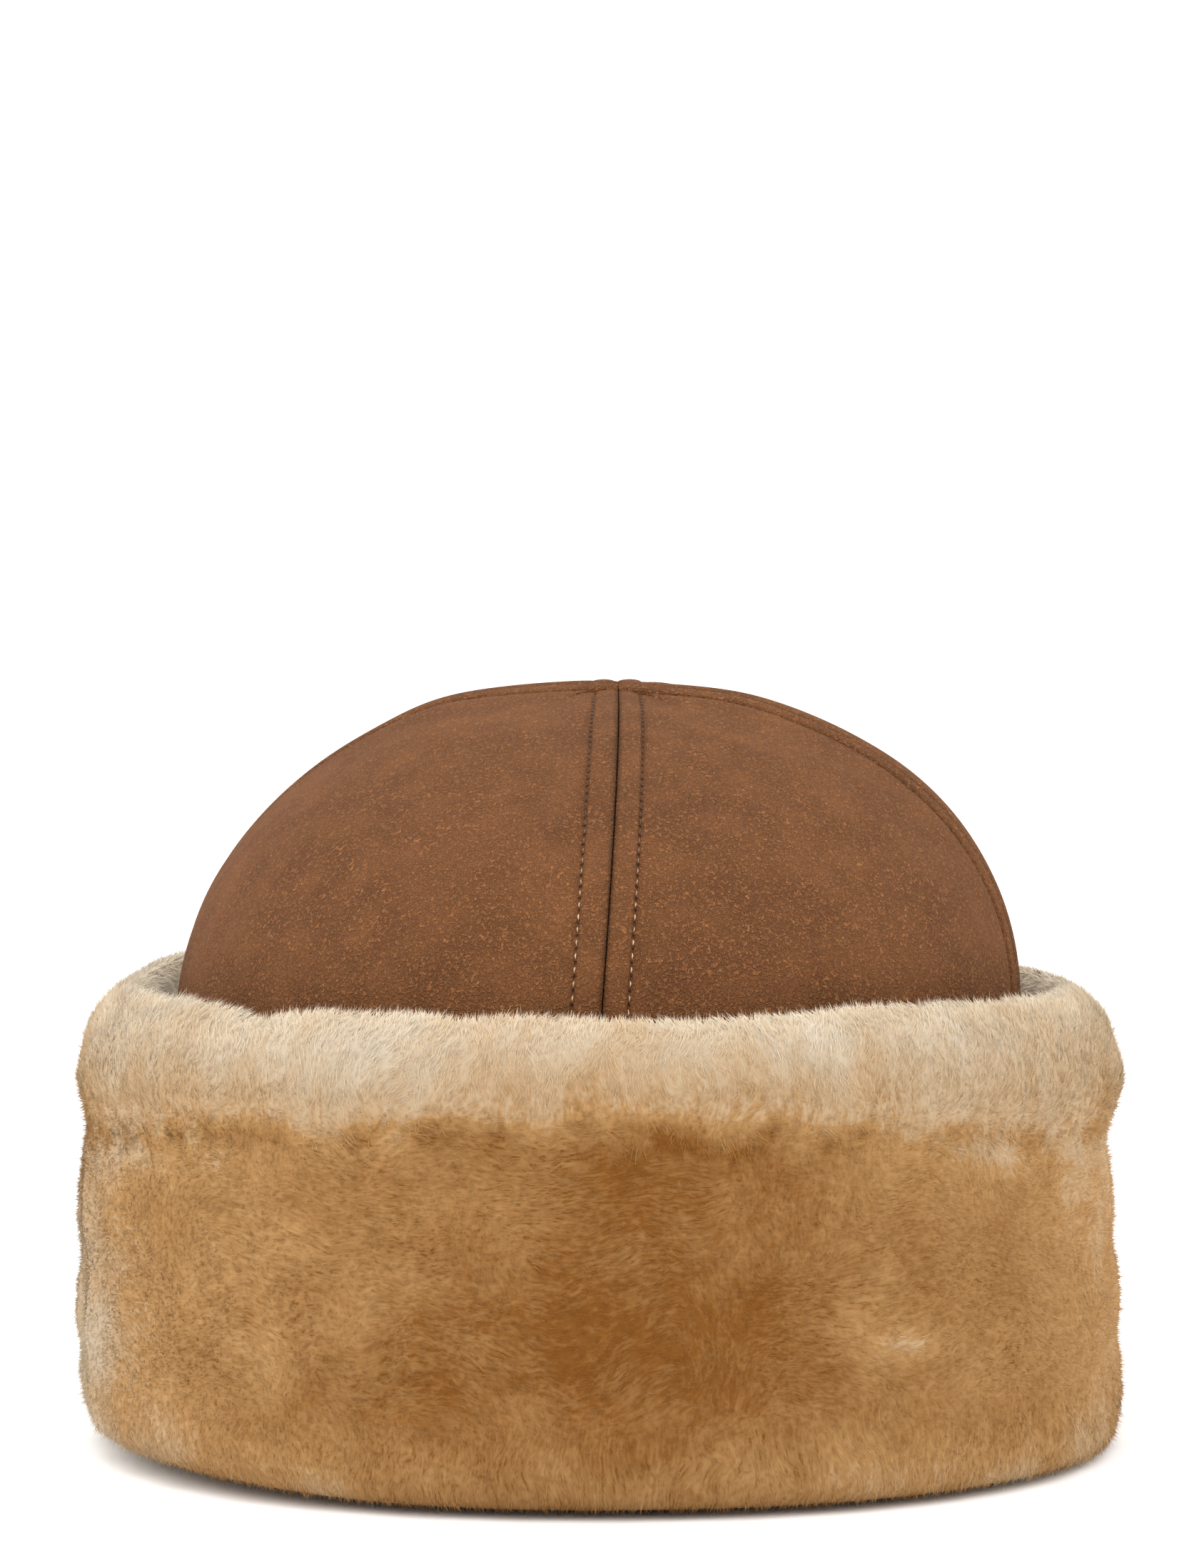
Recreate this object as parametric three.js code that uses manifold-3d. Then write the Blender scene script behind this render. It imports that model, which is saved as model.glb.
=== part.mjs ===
// A shearling hat: a dome of four suede-out quarter panels in a deep turned-up fur cuff.
// Millimetres, +Z up, the front of the hat towards -Y. The origin is on the surface that the hat
// rests on, at the middle of its length and width.
import * as THREE from 'three';
import * as BufferGeometryUtils from 'three/addons/utils/BufferGeometryUtils.js';
import Module from 'manifold-3d';

const wasm = await Module();
wasm.setup();

// The plan of every ring is an ellipse with full corners, deeper than it is wide by this much on each half.
const EXTRA_HALF_DEPTH = 10;
const PLAN_ROUNDNESS = 2.12;
const PIECE_GAP = 0.3;

// The dome
const CROWN_HALF_WIDTH = 99.2;
const CROWN_WALL = 4;
const CROWN_EDGE_Z = 12;
const DOME_START_Z = 102;
const DOME_HEIGHT = 75.2;
const DOME_ROUNDNESS = { right: 2.06, left: 2.12 };
const DOME_START_SHIFT_X = -1;
const APEX_SHIFT = { x: 5, y: 8 };

// The turned-back seam allowances beside each seam of the dome
const RIB_RISE = 1.8;
const RIB_FLAT_FROM = 1.3;
const RIB_FLAT_TO = 5.2;
const RIB_FOOT = 6.9;
const SEAM_EDGE_SHARE = 0.4;
const RIB_TUCKED_BELOW_Z = 98;
const RIB_FULL_ABOVE_Z = 105;

// Columns of a panel beside each seam: distance from the seam, and the most that it may be of a row's width
const SEAM_COLUMNS = [
  { across: PIECE_GAP / 2, mostShare: 0.25 },
  { across: RIB_FLAT_FROM, mostShare: 0.28 },
  { across: RIB_FLAT_TO, mostShare: 0.34 },
  { across: RIB_FOOT, mostShare: 0.44 },
  { across: 11, mostShare: 0.46 },
];

// Azimuths of the four seams, in degrees from +X towards +Y
const SEAMS = { front: -89.5, right: -12, back: 90.5, left: 168 };
const PANELS = [
  { name: 'crown_front_right', from: SEAMS.front, to: SEAMS.right },
  { name: 'crown_back_right', from: SEAMS.right, to: SEAMS.back },
  { name: 'crown_back_left', from: SEAMS.back, to: SEAMS.left },
  { name: 'crown_front_left', from: SEAMS.left, to: SEAMS.front + 360 },
];
const WALL_HEIGHTS = [CROWN_EDGE_Z, 55, RIB_TUCKED_BELOW_Z];
const DOME_ANGLES = [2.2, 15, 28, 41, 54, 66, 77, 85.2, 88.2];
const MIDDLE_COLUMNS = 5;

// The fur cuff. Its half width is to the crests of the locks.
const CUFF_HALF_WIDTH = 124.9;
const CUFF_INNER = CROWN_HALF_WIDTH + 0.5;
const CUFF_STEPS = 48;
const HEM_INNER = CROWN_HALF_WIDTH - CROWN_WALL;
const HEM_INNER_CORNER = 4;
const HEM_CORNER = { right: 3, left: 15, front: 8 };
const HEM_CORNER_ANGLES = [0, 30, 60, 90];
const BAND_TAPER = { right: 2.6, left: 0.4 };
const BAND_SHOULDER = { in: 1.6, down: 5 };
const BAND_MIDDLE_Z = 48;
const BAND_WIDEST_Z = 24;
const SEAM_HEIGHT = { side: 75.5, front: 85 };
const RIDGE_HEIGHT = { side: 109, front: 110.4 };
const LOCK_RISE = 1.9;
const LOCK_ROOT_DEPTH = 4;
const LOCK_EDGE_DEPTH = 0.7;
const FUSED_TOLERANCE = 0.08;
const FACE_STEP = 0.02;

// The roll's backing from beside the dome over the ridge and down: how far in from its widest ring, and
// how high between the seam line and the ridge
const ROLL_SHAPE = [
  { in: CUFF_HALF_WIDTH - LOCK_RISE - CUFF_INNER, up: 0.55 },
  { in: 18.2, up: 0.81 },
  { in: 12.4, up: 1.0 },
  { in: 6.4, up: 0.91 },
  { in: 1.8, up: 0.68 },
  { in: 0, up: 0.36 },
  { in: 0.8, up: 0.12 },
  { in: 2.4, up: 0 },
];

// How far the locks of a row differ, as shares of their spacing, lean and length
const LOCK_SPREAD = { spacing: 0.3, lean: 0.6, length: 0.1 };

// Stations of one lock, from its root to its tip: share of its length, of its width and of its rise
const LOCK_STATIONS = [
  { along: 0.0, width: 0.0, rise: -0.5 },
  { along: 0.35, width: 0.85, rise: 0.7 },
  { along: 0.78, width: 1.0, rise: 1.0 },
  { along: 1.0, width: 0.0, rise: 0.15 },
];

// Rows of locks. from and to are shares of the way along the outer face, from its top to its foot.
const BAND_LOCK_ROWS = [
  { count: 32, from: 0.03, to: 0.37, halfWidth: 16.5, lean: 7, start: 0 },
  { count: 32, from: 0.31, to: 0.64, halfWidth: 16.5, lean: -5, start: 0.5 },
  { count: 32, from: 0.58, to: 0.92, halfWidth: 16.5, lean: 4, start: 0.2 },
];
const ROLL_LOCK_ROWS = [
  { count: 28, from: 0.4, to: 0.13, halfWidth: 10.6, lean: 2, start: 0.5 },
  { count: 34, from: 0.34, to: 0.97, halfWidth: 15.6, lean: 3, start: 0.1 },
];

const SUEDE = new THREE.MeshStandardMaterial({ color: 0x85593b, roughness: 0.95, metalness: 0 });
const BAND_FUR = new THREE.MeshStandardMaterial({ color: 0xa97c4c, roughness: 0.9, metalness: 0 });
const ROLL_FUR = new THREE.MeshStandardMaterial({ color: 0xd2b184, roughness: 0.9, metalness: 0 });

const radians = THREE.MathUtils.degToRad;

// A repeatable number from 0 to 1
function scatter(index, kind) {
  const wave = Math.sin(index * 127.1 + kind * 311.7) * 43758.5453;
  return wave - Math.floor(wave);
}

// Cosine and sine of the plan's full-cornered ellipse
function planCos(azimuth) {
  return Math.sign(Math.cos(azimuth)) * Math.abs(Math.cos(azimuth)) ** (2 / PLAN_ROUNDNESS);
}

function planSin(azimuth) {
  return Math.sign(Math.sin(azimuth)) * Math.abs(Math.sin(azimuth)) ** (2 / PLAN_ROUNDNESS);
}

// A point of the ring of this half width
function ringPoint(azimuth, halfWidth, z) {
  const halfDepth = halfWidth + EXTRA_HALF_DEPTH;
  return new THREE.Vector3(halfWidth * planCos(azimuth), halfDepth * planSin(azimuth), z);
}

// A closed mesh whose faces point out
function closedGeometry(points, index) {
  const geometry = new THREE.BufferGeometry();
  geometry.setFromPoints(points);
  geometry.setIndex(index);
  const merged = BufferGeometryUtils.mergeVertices(geometry, 1e-4);
  const place = merged.attributes.position;
  const order = merged.index.array;
  const corner = [new THREE.Vector3(), new THREE.Vector3(), new THREE.Vector3()];
  let volume = 0;
  for (let i = 0; i < order.length; i += 3) {
    corner.forEach((point, side) => point.fromBufferAttribute(place, order[i + side]));
    volume += corner[0].dot(corner[1].clone().cross(corner[2]));
  }
  if (volume < 0) {
    for (let i = 0; i < order.length; i += 3) {
      [order[i], order[i + 1]] = [order[i + 1], order[i]];
    }
  }
  return merged;
}

// Two triangles between four corners given in order round them
function pushQuad(index, a, b, c, d) {
  index.push(a, b, c, a, c, d);
}

// How far a rib stands at this distance from its seam, from 0 to 1
function ribShare(across) {
  return 1 - THREE.MathUtils.smoothstep(across, RIB_FLAT_TO, RIB_FOOT);
}

// How much of its rise a rib keeps towards its seam, where its edge turns down into the groove
function edgeShare(across) {
  const rounded = THREE.MathUtils.smoothstep(across, 0, RIB_FLAT_FROM);
  return THREE.MathUtils.lerp(SEAM_EDGE_SHARE, 1, rounded);
}

// The rows of a panel, from its lower edge up: wall rows have a height, dome rows an angle
const CROWN_ROWS = [
  ...WALL_HEIGHTS.map((z) => ({ z, angle: 0 })),
  ...DOME_ANGLES.map((angle) => ({ angle })),
];

// How wide the dome is on a row, as a share, and how high the row is above the dome's start, as a share.
// The dome's shoulder is fuller on the left.
function domeShares(azimuth, angle) {
  const side = (1 + Math.cos(azimuth)) / 2;
  const power = 2 / THREE.MathUtils.lerp(DOME_ROUNDNESS.left, DOME_ROUNDNESS.right, side);
  return { spread: Math.cos(radians(angle)) ** power, lift: Math.sin(radians(angle)) ** power };
}

// A point of the dome. The dome leans as it rises, so that its apex is off its middle.
function crownPoint(azimuth, row, inset, ribRise) {
  const { spread, lift } = domeShares(azimuth, row.angle);
  const halfWidth = CROWN_HALF_WIDTH - inset;
  const halfDepth = halfWidth + EXTRA_HALF_DEPTH;
  const z = row.z ?? DOME_START_Z + (DOME_HEIGHT - inset) * lift;
  const free = THREE.MathUtils.smoothstep(z, RIB_TUCKED_BELOW_Z, RIB_FULL_ABOVE_Z);
  const shift = THREE.MathUtils.lerp(free * DOME_START_SHIFT_X, APEX_SHIFT.x, lift);
  const outward = new THREE.Vector3(Math.cos(azimuth) * spread, Math.sin(azimuth) * spread, lift).normalize();
  return new THREE.Vector3(
    shift + halfWidth * spread * planCos(azimuth),
    APEX_SHIFT.y * lift + halfDepth * spread * planSin(azimuth),
    z
  ).addScaledVector(outward, ribRise * free);
}

// Distances from each seam at which a panel has its columns, on a row of this width
function columnDistances(rowWidth) {
  const near = SEAM_COLUMNS.map((column) => Math.min(column.across, column.mostShare * rowWidth));
  const last = near[near.length - 1];
  const middles = [];
  for (let i = 1; i <= MIDDLE_COLUMNS; i += 1) {
    middles.push(last + ((rowWidth - 2 * last) * i) / (MIDDLE_COLUMNS + 1));
  }
  const far = near.map((across) => rowWidth - across).reverse();
  return [...near, ...middles, ...far];
}

// One face of a panel as rows of points, outer where inset is 0
function panelFace(panel, inset) {
  const from = radians(panel.from);
  const to = radians(panel.to);
  const middle = (from + to) / 2;
  const halfWidth = CROWN_HALF_WIDTH - inset;
  return CROWN_ROWS.map((row) => {
    const meanRadius = (halfWidth + EXTRA_HALF_DEPTH / 2) * domeShares(middle, row.angle).spread;
    const rowWidth = meanRadius * (to - from);
    return columnDistances(rowWidth).map((across) => {
      const other = rowWidth - across;
      const rib = Math.max(ribShare(across), ribShare(other));
      const rise = inset > 0 ? 0 : RIB_RISE * rib * edgeShare(across) * edgeShare(other);
      const azimuth = middle + (across - rowWidth / 2) / meanRadius;
      return crownPoint(azimuth, row, inset, rise);
    });
  });
}

// The corner of a panel at the apex
function panelTip(panel, inset) {
  const middle = radians((panel.from + panel.to) / 2);
  const top = DOME_START_Z + DOME_HEIGHT - inset;
  const rise = inset > 0 ? 0 : RIB_RISE * SEAM_EDGE_SHARE;
  return new THREE.Vector3(
    APEX_SHIFT.x + PIECE_GAP * Math.cos(middle),
    APEX_SHIFT.y + PIECE_GAP * Math.sin(middle),
    top + rise
  );
}

// A quarter panel: its outer and inner faces, its lower edge and its two seam edges
function panelGeometry(panel) {
  const outer = panelFace(panel, 0);
  const inner = panelFace(panel, CROWN_WALL);
  const columns = outer[0].length;
  const loop = 2 * columns;
  const points = outer.flatMap((row, i) => [...row, ...inner[i].slice().reverse()]);
  const outerTip = points.push(panelTip(panel, 0)) - 1;
  const innerTip = points.push(panelTip(panel, CROWN_WALL)) - 1;
  const index = [];
  for (let row = 0; row < outer.length - 1; row += 1) {
    for (let i = 0; i < loop; i += 1) {
      const next = (i + 1) % loop;
      const low = row * loop;
      const high = low + loop;
      pushQuad(index, low + i, low + next, high + next, high + i);
    }
  }
  const last = (outer.length - 1) * loop;
  for (let i = 0; i < columns - 1; i += 1) {
    pushQuad(index, i + 1, i, loop - 1 - i, loop - 2 - i);
    index.push(last + i, last + i + 1, outerTip);
    index.push(last + columns + i, last + columns + i + 1, innerTip);
  }
  pushQuad(index, last + columns - 1, last + columns, innerTip, outerTip);
  pushQuad(index, last + loop - 1, last, outerTip, innerTip);
  return closedGeometry(points, index);
}

// Height of the ragged line between the roll and the band, which rises towards the front and back
function seamHeight(azimuth) {
  return THREE.MathUtils.lerp(SEAM_HEIGHT.side, SEAM_HEIGHT.front, Math.sin(azimuth) ** 2);
}

function ridgeHeight(azimuth) {
  return THREE.MathUtils.lerp(RIDGE_HEIGHT.side, RIDGE_HEIGHT.front, Math.sin(azimuth) ** 2);
}

// The hem is crisp on the right of the hat and soft on the left
function hemCorner(azimuth) {
  const side = THREE.MathUtils.lerp(HEM_CORNER.left, HEM_CORNER.right, (1 + Math.cos(azimuth)) / 2);
  return THREE.MathUtils.lerp(side, HEM_CORNER.front, Math.sin(azimuth) ** 2);
}

// Outer face of the band's backing, from the seam line down and round the hem: half width and height
function bandFace(azimuth) {
  const top = seamHeight(azimuth) - PIECE_GAP / 2;
  const corner = hemCorner(azimuth);
  const widest = CUFF_HALF_WIDTH - LOCK_RISE;
  const taper = THREE.MathUtils.lerp(BAND_TAPER.left, BAND_TAPER.right, (1 + Math.cos(azimuth)) / 2);
  const arc = HEM_CORNER_ANGLES.map((degrees) => [
    widest - corner * (1 - Math.cos(radians(degrees))),
    corner * (1 - Math.sin(radians(degrees))),
  ]);
  return [
    [widest - taper - BAND_SHOULDER.in, top],
    [widest - taper, top - BAND_SHOULDER.down],
    [widest - taper / 2, BAND_MIDDLE_Z],
    [widest, BAND_WIDEST_Z],
    ...arc,
  ];
}

// Section of the band's backing. Its hem turns in under the lower edge of the dome's panels.
function bandSection(azimuth) {
  const ledge = CROWN_EDGE_Z - PIECE_GAP;
  return [
    ...bandFace(azimuth),
    [HEM_INNER + HEM_INNER_CORNER, 0],
    [HEM_INNER + 0.2 * HEM_INNER_CORNER, 0.8 * HEM_INNER_CORNER],
    [HEM_INNER, ledge],
    [CUFF_INNER, ledge],
    [CUFF_INNER, seamHeight(azimuth) - PIECE_GAP / 2],
  ];
}

// Outer face of the roll's backing, from beside the dome over the ridge and down to the seam line
function rollFace(azimuth) {
  const foot = seamHeight(azimuth) + PIECE_GAP / 2;
  const ridge = ridgeHeight(azimuth) - LOCK_RISE / 2;
  const widest = CUFF_HALF_WIDTH - LOCK_RISE;
  return ROLL_SHAPE.map((point) => [widest - point.in, THREE.MathUtils.lerp(foot, ridge, point.up)]);
}

function rollSection(azimuth) {
  return [...rollFace(azimuth), [CUFF_INNER, seamHeight(azimuth) + PIECE_GAP / 2]];
}

// A closed ring of this section, which may change as it goes round
function ringGeometry(section) {
  const points = [];
  const index = [];
  const count = section(0).length;
  for (let step = 0; step < CUFF_STEPS; step += 1) {
    const azimuth = (2 * Math.PI * step) / CUFF_STEPS;
    section(azimuth).forEach(([halfWidth, z]) => points.push(ringPoint(azimuth, halfWidth, z)));
  }
  for (let step = 0; step < CUFF_STEPS; step += 1) {
    const here = step * count;
    const there = ((step + 1) % CUFF_STEPS) * count;
    for (let i = 0; i < count; i += 1) {
      const next = (i + 1) % count;
      pushQuad(index, here + i, there + i, there + next, here + next);
    }
  }
  return closedGeometry(points, index);
}

// The point at this share of the way along a face, by length
function alongFace(face, azimuth, share) {
  const places = face(azimuth);
  const lengths = places.slice(1).map((place, i) => {
    return Math.hypot(place[0] - places[i][0], place[1] - places[i][1]);
  });
  let left = share * lengths.reduce((sum, length) => sum + length, 0);
  let piece = 0;
  while (piece < lengths.length - 1 && left > lengths[piece]) {
    left -= lengths[piece];
    piece += 1;
  }
  const part = left / lengths[piece];
  const halfWidth = THREE.MathUtils.lerp(places[piece][0], places[piece + 1][0], part);
  const z = THREE.MathUtils.lerp(places[piece][1], places[piece + 1][1], part);
  return ringPoint(azimuth, halfWidth, z);
}

// The point above a face by this much, along the face's own outward direction
function aboveFace(face, azimuth, share, height) {
  const step = FACE_STEP;
  const point = alongFace(face, azimuth, share);
  const round = alongFace(face, azimuth + step, share).sub(alongFace(face, azimuth - step, share));
  const low = Math.max(share - step, 0);
  const high = Math.min(share + step, 1);
  const down = alongFace(face, azimuth, high).sub(alongFace(face, azimuth, low));
  return point.addScaledVector(down.cross(round).normalize(), height);
}

// One lock of fur: a low tapered tongue with a crest, whose root is sunk in the backing
function lockGeometry(face, row, number) {
  const pitch = (2 * Math.PI) / row.count;
  const nearRadius = CUFF_HALF_WIDTH + EXTRA_HALF_DEPTH / 2;
  const azimuth = (number + row.start + LOCK_SPREAD.spacing * (scatter(number, row.from) - 0.5)) * pitch;
  const lean = (row.lean * (1 + LOCK_SPREAD.lean * (2 * scatter(number, row.to) - 1))) / nearRadius;
  const length = (row.to - row.from) * (1 - LOCK_SPREAD.length * scatter(number, row.lean));
  const points = [];
  LOCK_STATIONS.forEach((station) => {
    const share = row.from + length * station.along;
    const here = azimuth + lean * station.along;
    const half = (row.halfWidth * station.width) / nearRadius;
    const rise = LOCK_RISE * station.rise;
    points.push(aboveFace(face, here, share, rise));
    if (half > 0) {
      points.push(aboveFace(face, here + half, share, -LOCK_EDGE_DEPTH));
      points.push(aboveFace(face, here, share, -LOCK_ROOT_DEPTH));
      points.push(aboveFace(face, here - half, share, -LOCK_EDGE_DEPTH));
    }
  });
  const index = [];
  const tip = points.length - 1;
  for (let side = 0; side < 4; side += 1) {
    const next = (side + 1) % 4;
    index.push(0, 1 + side, 1 + next);
    pushQuad(index, 1 + side, 5 + side, 5 + next, 1 + next);
    index.push(tip, 5 + next, 5 + side);
  }
  return closedGeometry(points, index);
}

function solidOf(geometry) {
  return new wasm.Manifold(new wasm.Mesh({
    numProp: 3,
    vertProperties: new Float32Array(geometry.attributes.position.array),
    triVerts: new Uint32Array(geometry.index.array),
  }));
}

// A backing with its rows of locks fused to it
function furGeometry(section, face, rows) {
  const solids = [solidOf(ringGeometry(section))];
  rows.forEach((row) => {
    for (let number = 0; number < row.count; number += 1) {
      solids.push(solidOf(lockGeometry(face, row, number)));
    }
  });
  const fused = wasm.Manifold.union(solids).simplify(FUSED_TOLERANCE).getMesh();
  const geometry = new THREE.BufferGeometry();
  geometry.setAttribute('position', new THREE.BufferAttribute(fused.vertProperties, 3));
  geometry.setIndex(new THREE.BufferAttribute(fused.triVerts, 1));
  return geometry;
}

function namedMesh(name, geometry, material) {
  const mesh = new THREE.Mesh(geometry, material);
  mesh.name = name;
  return mesh;
}

const group = new THREE.Group();
PANELS.forEach((panel) => group.add(namedMesh(panel.name, panelGeometry(panel), SUEDE.clone())));
group.add(namedMesh('cuff_band', furGeometry(bandSection, bandFace, BAND_LOCK_ROWS), BAND_FUR));
group.add(namedMesh('cuff_roll', furGeometry(rollSection, rollFace, ROLL_LOCK_ROWS), ROLL_FUR));

export default group;
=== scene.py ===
"""The looks of a shearling hat: a suede dome of four topstitched panels in a deep fur cuff."""

import math

import bpy
import numpy as np
from bpy.props import FloatProperty, FloatVectorProperty, IntProperty, PointerProperty
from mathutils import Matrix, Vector, kdtree, noise


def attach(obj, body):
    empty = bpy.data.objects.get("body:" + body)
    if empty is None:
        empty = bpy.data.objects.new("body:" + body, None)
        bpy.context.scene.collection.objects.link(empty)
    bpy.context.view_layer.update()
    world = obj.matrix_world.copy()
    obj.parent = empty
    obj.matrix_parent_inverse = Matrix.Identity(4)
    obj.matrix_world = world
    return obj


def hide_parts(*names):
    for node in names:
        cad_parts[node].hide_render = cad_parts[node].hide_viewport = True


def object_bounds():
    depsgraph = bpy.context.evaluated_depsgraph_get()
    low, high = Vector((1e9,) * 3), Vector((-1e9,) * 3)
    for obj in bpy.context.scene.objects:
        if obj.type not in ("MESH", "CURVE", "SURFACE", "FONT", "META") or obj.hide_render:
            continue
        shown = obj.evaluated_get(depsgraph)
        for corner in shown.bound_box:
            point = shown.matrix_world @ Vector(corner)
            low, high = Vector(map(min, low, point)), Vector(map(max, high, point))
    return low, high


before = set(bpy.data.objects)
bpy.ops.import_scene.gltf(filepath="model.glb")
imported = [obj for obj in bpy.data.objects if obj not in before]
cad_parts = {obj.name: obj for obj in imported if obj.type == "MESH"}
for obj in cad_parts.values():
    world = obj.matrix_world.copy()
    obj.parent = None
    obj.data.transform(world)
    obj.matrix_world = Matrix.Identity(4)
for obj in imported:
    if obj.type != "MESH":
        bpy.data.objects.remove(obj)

bl_info = {
    "name": "Shearling hat",
    "version": (1, 0, 0),
    "blender": (4, 5, 0),
    "location": "View3D > Sidebar > Hat",
    "description": "Builds the suede dome, its topstitching and the fur cuff of a shearling hat",
    "category": "Object",
}

CAD_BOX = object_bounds()
MM = 0.001
CM = 0.01
FULL_TURN = 2.0 * math.pi

# Shortest length of a direction, and the distance within which a solid's loose corners are merged
TINY = 1e-12
MERGE = 1e-6

# How far each seed moves a noise from the one before, in features
SEED_STEPS = (17.3, 5.9, 31.7)

# Dome

# Azimuths of the dome's four seams, in degrees from +X towards +Y
SEAMS = {"front": -89.6, "right": -12.0, "back": 90.5, "left": 168.0}

# Panels between them: first seam, last seam, and the width in mm of the rib beside each
PANELS = {
    "crown_front_right": ("front", "right", 5.3, 6.0),
    "crown_back_right": ("right", "back", 6.0, 6.1),
    "crown_back_left": ("back", "left", 6.1, 6.4),
    "crown_front_left": ("left", "front", 6.4, 5.9),
}

# Columns of a panel beside each seam: distance from it in mm, and the most that it may be of a row's width
SEAM_COLUMNS = (
    (0.08, 0.04), (0.30, 0.10), (0.65, 0.14), (1.0, 0.18), (1.5, 0.22), (2.2, 0.25), (3.2, 0.28),
    (4.2, 0.31), (5.0, 0.34), (5.5, 0.36), (5.9, 0.37), (6.2, 0.38), (6.4, 0.39), (6.6, 0.40),
    (6.9, 0.41), (7.4, 0.42), (8.2, 0.43), (9.6, 0.44), (11.5, 0.45),
)

# The rib that the columns are spaced for, in mm
USUAL_RIB = 6.4

# Rows of a panel: those of the wall, how far below the curve they end, the first and last angle up the
# curve in degrees, and how much closer the rows stand towards the apex
WALL_ROWS = 14
WALL_END = 0.002
CURVE_ANGLES = (1.0, 89.0)
ROW_CROWDING = 1.25

# Extra rows where the side-to-side seam's topstitching crosses the other ribs: first and last angle, count
CROSSING_ROWS = (84.9, 87.7, 12)

# Heights beside the start of the curve between which the dome comes free of the cuff, and how far it
# stands to the left there
FREE_FROM = (-0.004, 0.003)
LEFT_LEAN = 0.001

# Where the dome swells or is flatter: azimuth and its spread, angle up the curve and its spread, in
# degrees, and rise
DOME_SWELLS = (
    (190.0, 40.0, 32.0, 18.0, -0.0005), (-5.0, 40.0, 48.0, 24.0, 0.0010),
    (180.0, 50.0, 66.0, 9.0, 0.0012), (0.0, 50.0, 73.0, 9.0, 0.0009),
)

# Soft unevenness of the suede as size, strength and seed, what is left of it on the ribs, and the
# distances from a seam in mm between which it sets in
SUEDE_SWAYS = ((0.055, 1.0, 1.0), (0.022, 0.45, 2.0))
SWAY_ON_RIBS = 0.35
SWAY_START = (0.5, 12.0)

# Across a rib, in mm from its seam: the rounded edge beside the groove, where the rib ends, where the
# thick skin beside it thins out, the crease of the topstitching, and the puff beyond it
RIB_EDGE = 1.2
RIB_END = (5.6, 7.2)
BEYOND_END = (7.0, 18.0)
CREASE_SPREAD = 0.5
PUFF_START = (6.4, 8.5)
PUFF_MIDDLE = 12.0
PUFF_SPREAD = 5.0

# Heights there as shares of the rib's rise: in the groove, at the rib's edges and how much higher its
# middle is, low down and at the top, on the skin beyond, and the depth of the crease
GROOVE_RISE = 0.1
RIB_LOW = (0.9, 0.1)
RIB_TOP = (0.5, 0.6)
BEYOND_RISE = 0.35
CREASE_DEPTH = 0.42

# Angles up the curve in degrees between which the ribs change to those of the top
TOP_ANGLES = (66.0, 84.0)

# Where the side-to-side seam's ribs run on over the others: how near the top that sets in, their edge in
# mm from their seam, the dip of the other ribs in front of it, the roundness there, and what is left of
# the other ribs' height at the top and under the ribs that run over them
CROSSING_TOP = (0.2, 0.9)
CROSSING_EDGE = (6.3, 7.0)
DIP_MIDDLE = 7.6
DIP_SPREAD = 1.6
DIP_DEPTH = 0.5
CROSSING_ROUNDNESS = 0.85
OTHER_LOWERED = 0.6
OTHER_SHOWS = 0.2

# How far a panel's tip stays from the apex in mm, and its rise as a share of a rib's
TIP_GAP = 0.2
TIP_RISE = 0.3

# Distance from a seam in cm that the map gives the pile inside
PILE_ACROSS = 5.0

# Edges of the suede and of the undercoat that are sharper than this in degrees stay sharp
SUEDE_EDGE = 50.0
FUR_EDGE = 60.0

# A stitch: sides of its thread, width and height of its ends as shares, how far they bend down and how
# high it lies, both in threads, how unevenly it is turned in degrees and sized, the seed of that, and how
# far from the apex the last one is
STITCH_SIDES = 8
STITCH_END_WIDTH = 0.55
STITCH_END_HEIGHT = 0.6
STITCH_BEND = 0.8
STITCH_LIFT = 0.32
STITCH_TURN = 4.0
STITCH_SIZES = (0.88, 1.08)
STITCH_SEED = 11
STITCH_STOP = 0.0075

# Finishes

# Nap: how curly its lines are, the place of its second curls in the noise, sizes of second curls, grain and
# tufts beside the first curls, and how strongly its ground, fibres and relief show. Its tone follows its
# height, so the lighter fibres and the relief's light and dark are partly the nap's own colour and partly
# painted highlight and shade
CURLING = 1.4
NAP_OFFSET = (3.1, 1.7, 5.3)
SECOND_CURLS = 0.7
NAP_GRAIN = 0.34
NAP_TUFTS = 5.0
NAP_GROUND = 0.41
NAP_FIBRES = 0.46
NAP_RELIEF = 0.27

# Suede: size and contrast of its clouds and small patches, and the depth of its nap
CLOUD_SIZE = 0.030
CLOUD_CONTRAST = 0.12
PATCH_SIZE = 0.009
PATCH_CONTRAST = 0.08
NAP_BUMP = 0.0009

# Painted shade beside a seam, at distances in cm: in the stitches' holes, across the line of topstitching and
# along it in stitches, how dark and deep they are and how much of them the side seams show, then in the
# crease of that line, the seam's groove and on the rounded edge beside it, and the suede's colour in the
# deepest painted shade
STITCH_LINE = 0.64
HOLE_ACROSS = (0.010, 0.045)
HOLE_ALONG = (0.04, 0.20)
HOLE_PAINTED_SHADE = 0.80
HOLE_DEPTH = 0.9
HOLES_ON_SIDES = 0.35
CREASE_WIDTH = 0.09
CREASE_PAINTED_SHADE = 0.22
GROOVE_EDGE = (0.012, 0.055)
GROOVE_PAINTED_SHADE = 0.6
BESIDE_EDGE = (0.03, 0.15)
BESIDE_PAINTED_SHADE = 0.30
SUEDE_IN_PAINTED_SHADE = (0.028, 0.010, 0.004, 1.0)

# Distances to the right or left between which a line of topstitching counts as the side seams' instead
# of the front and the back seam's
SIDE_SEAMS = (0.028, 0.050)

# Thread: the heights between which its pale colour fades into the suede's, how much of it shows on the
# side seams, and its specks in a metre
THREAD_FADE = (0.128, 0.155)
THREAD_ON_SIDES = 0.1
THREAD_SPECKS = 260.0
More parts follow.
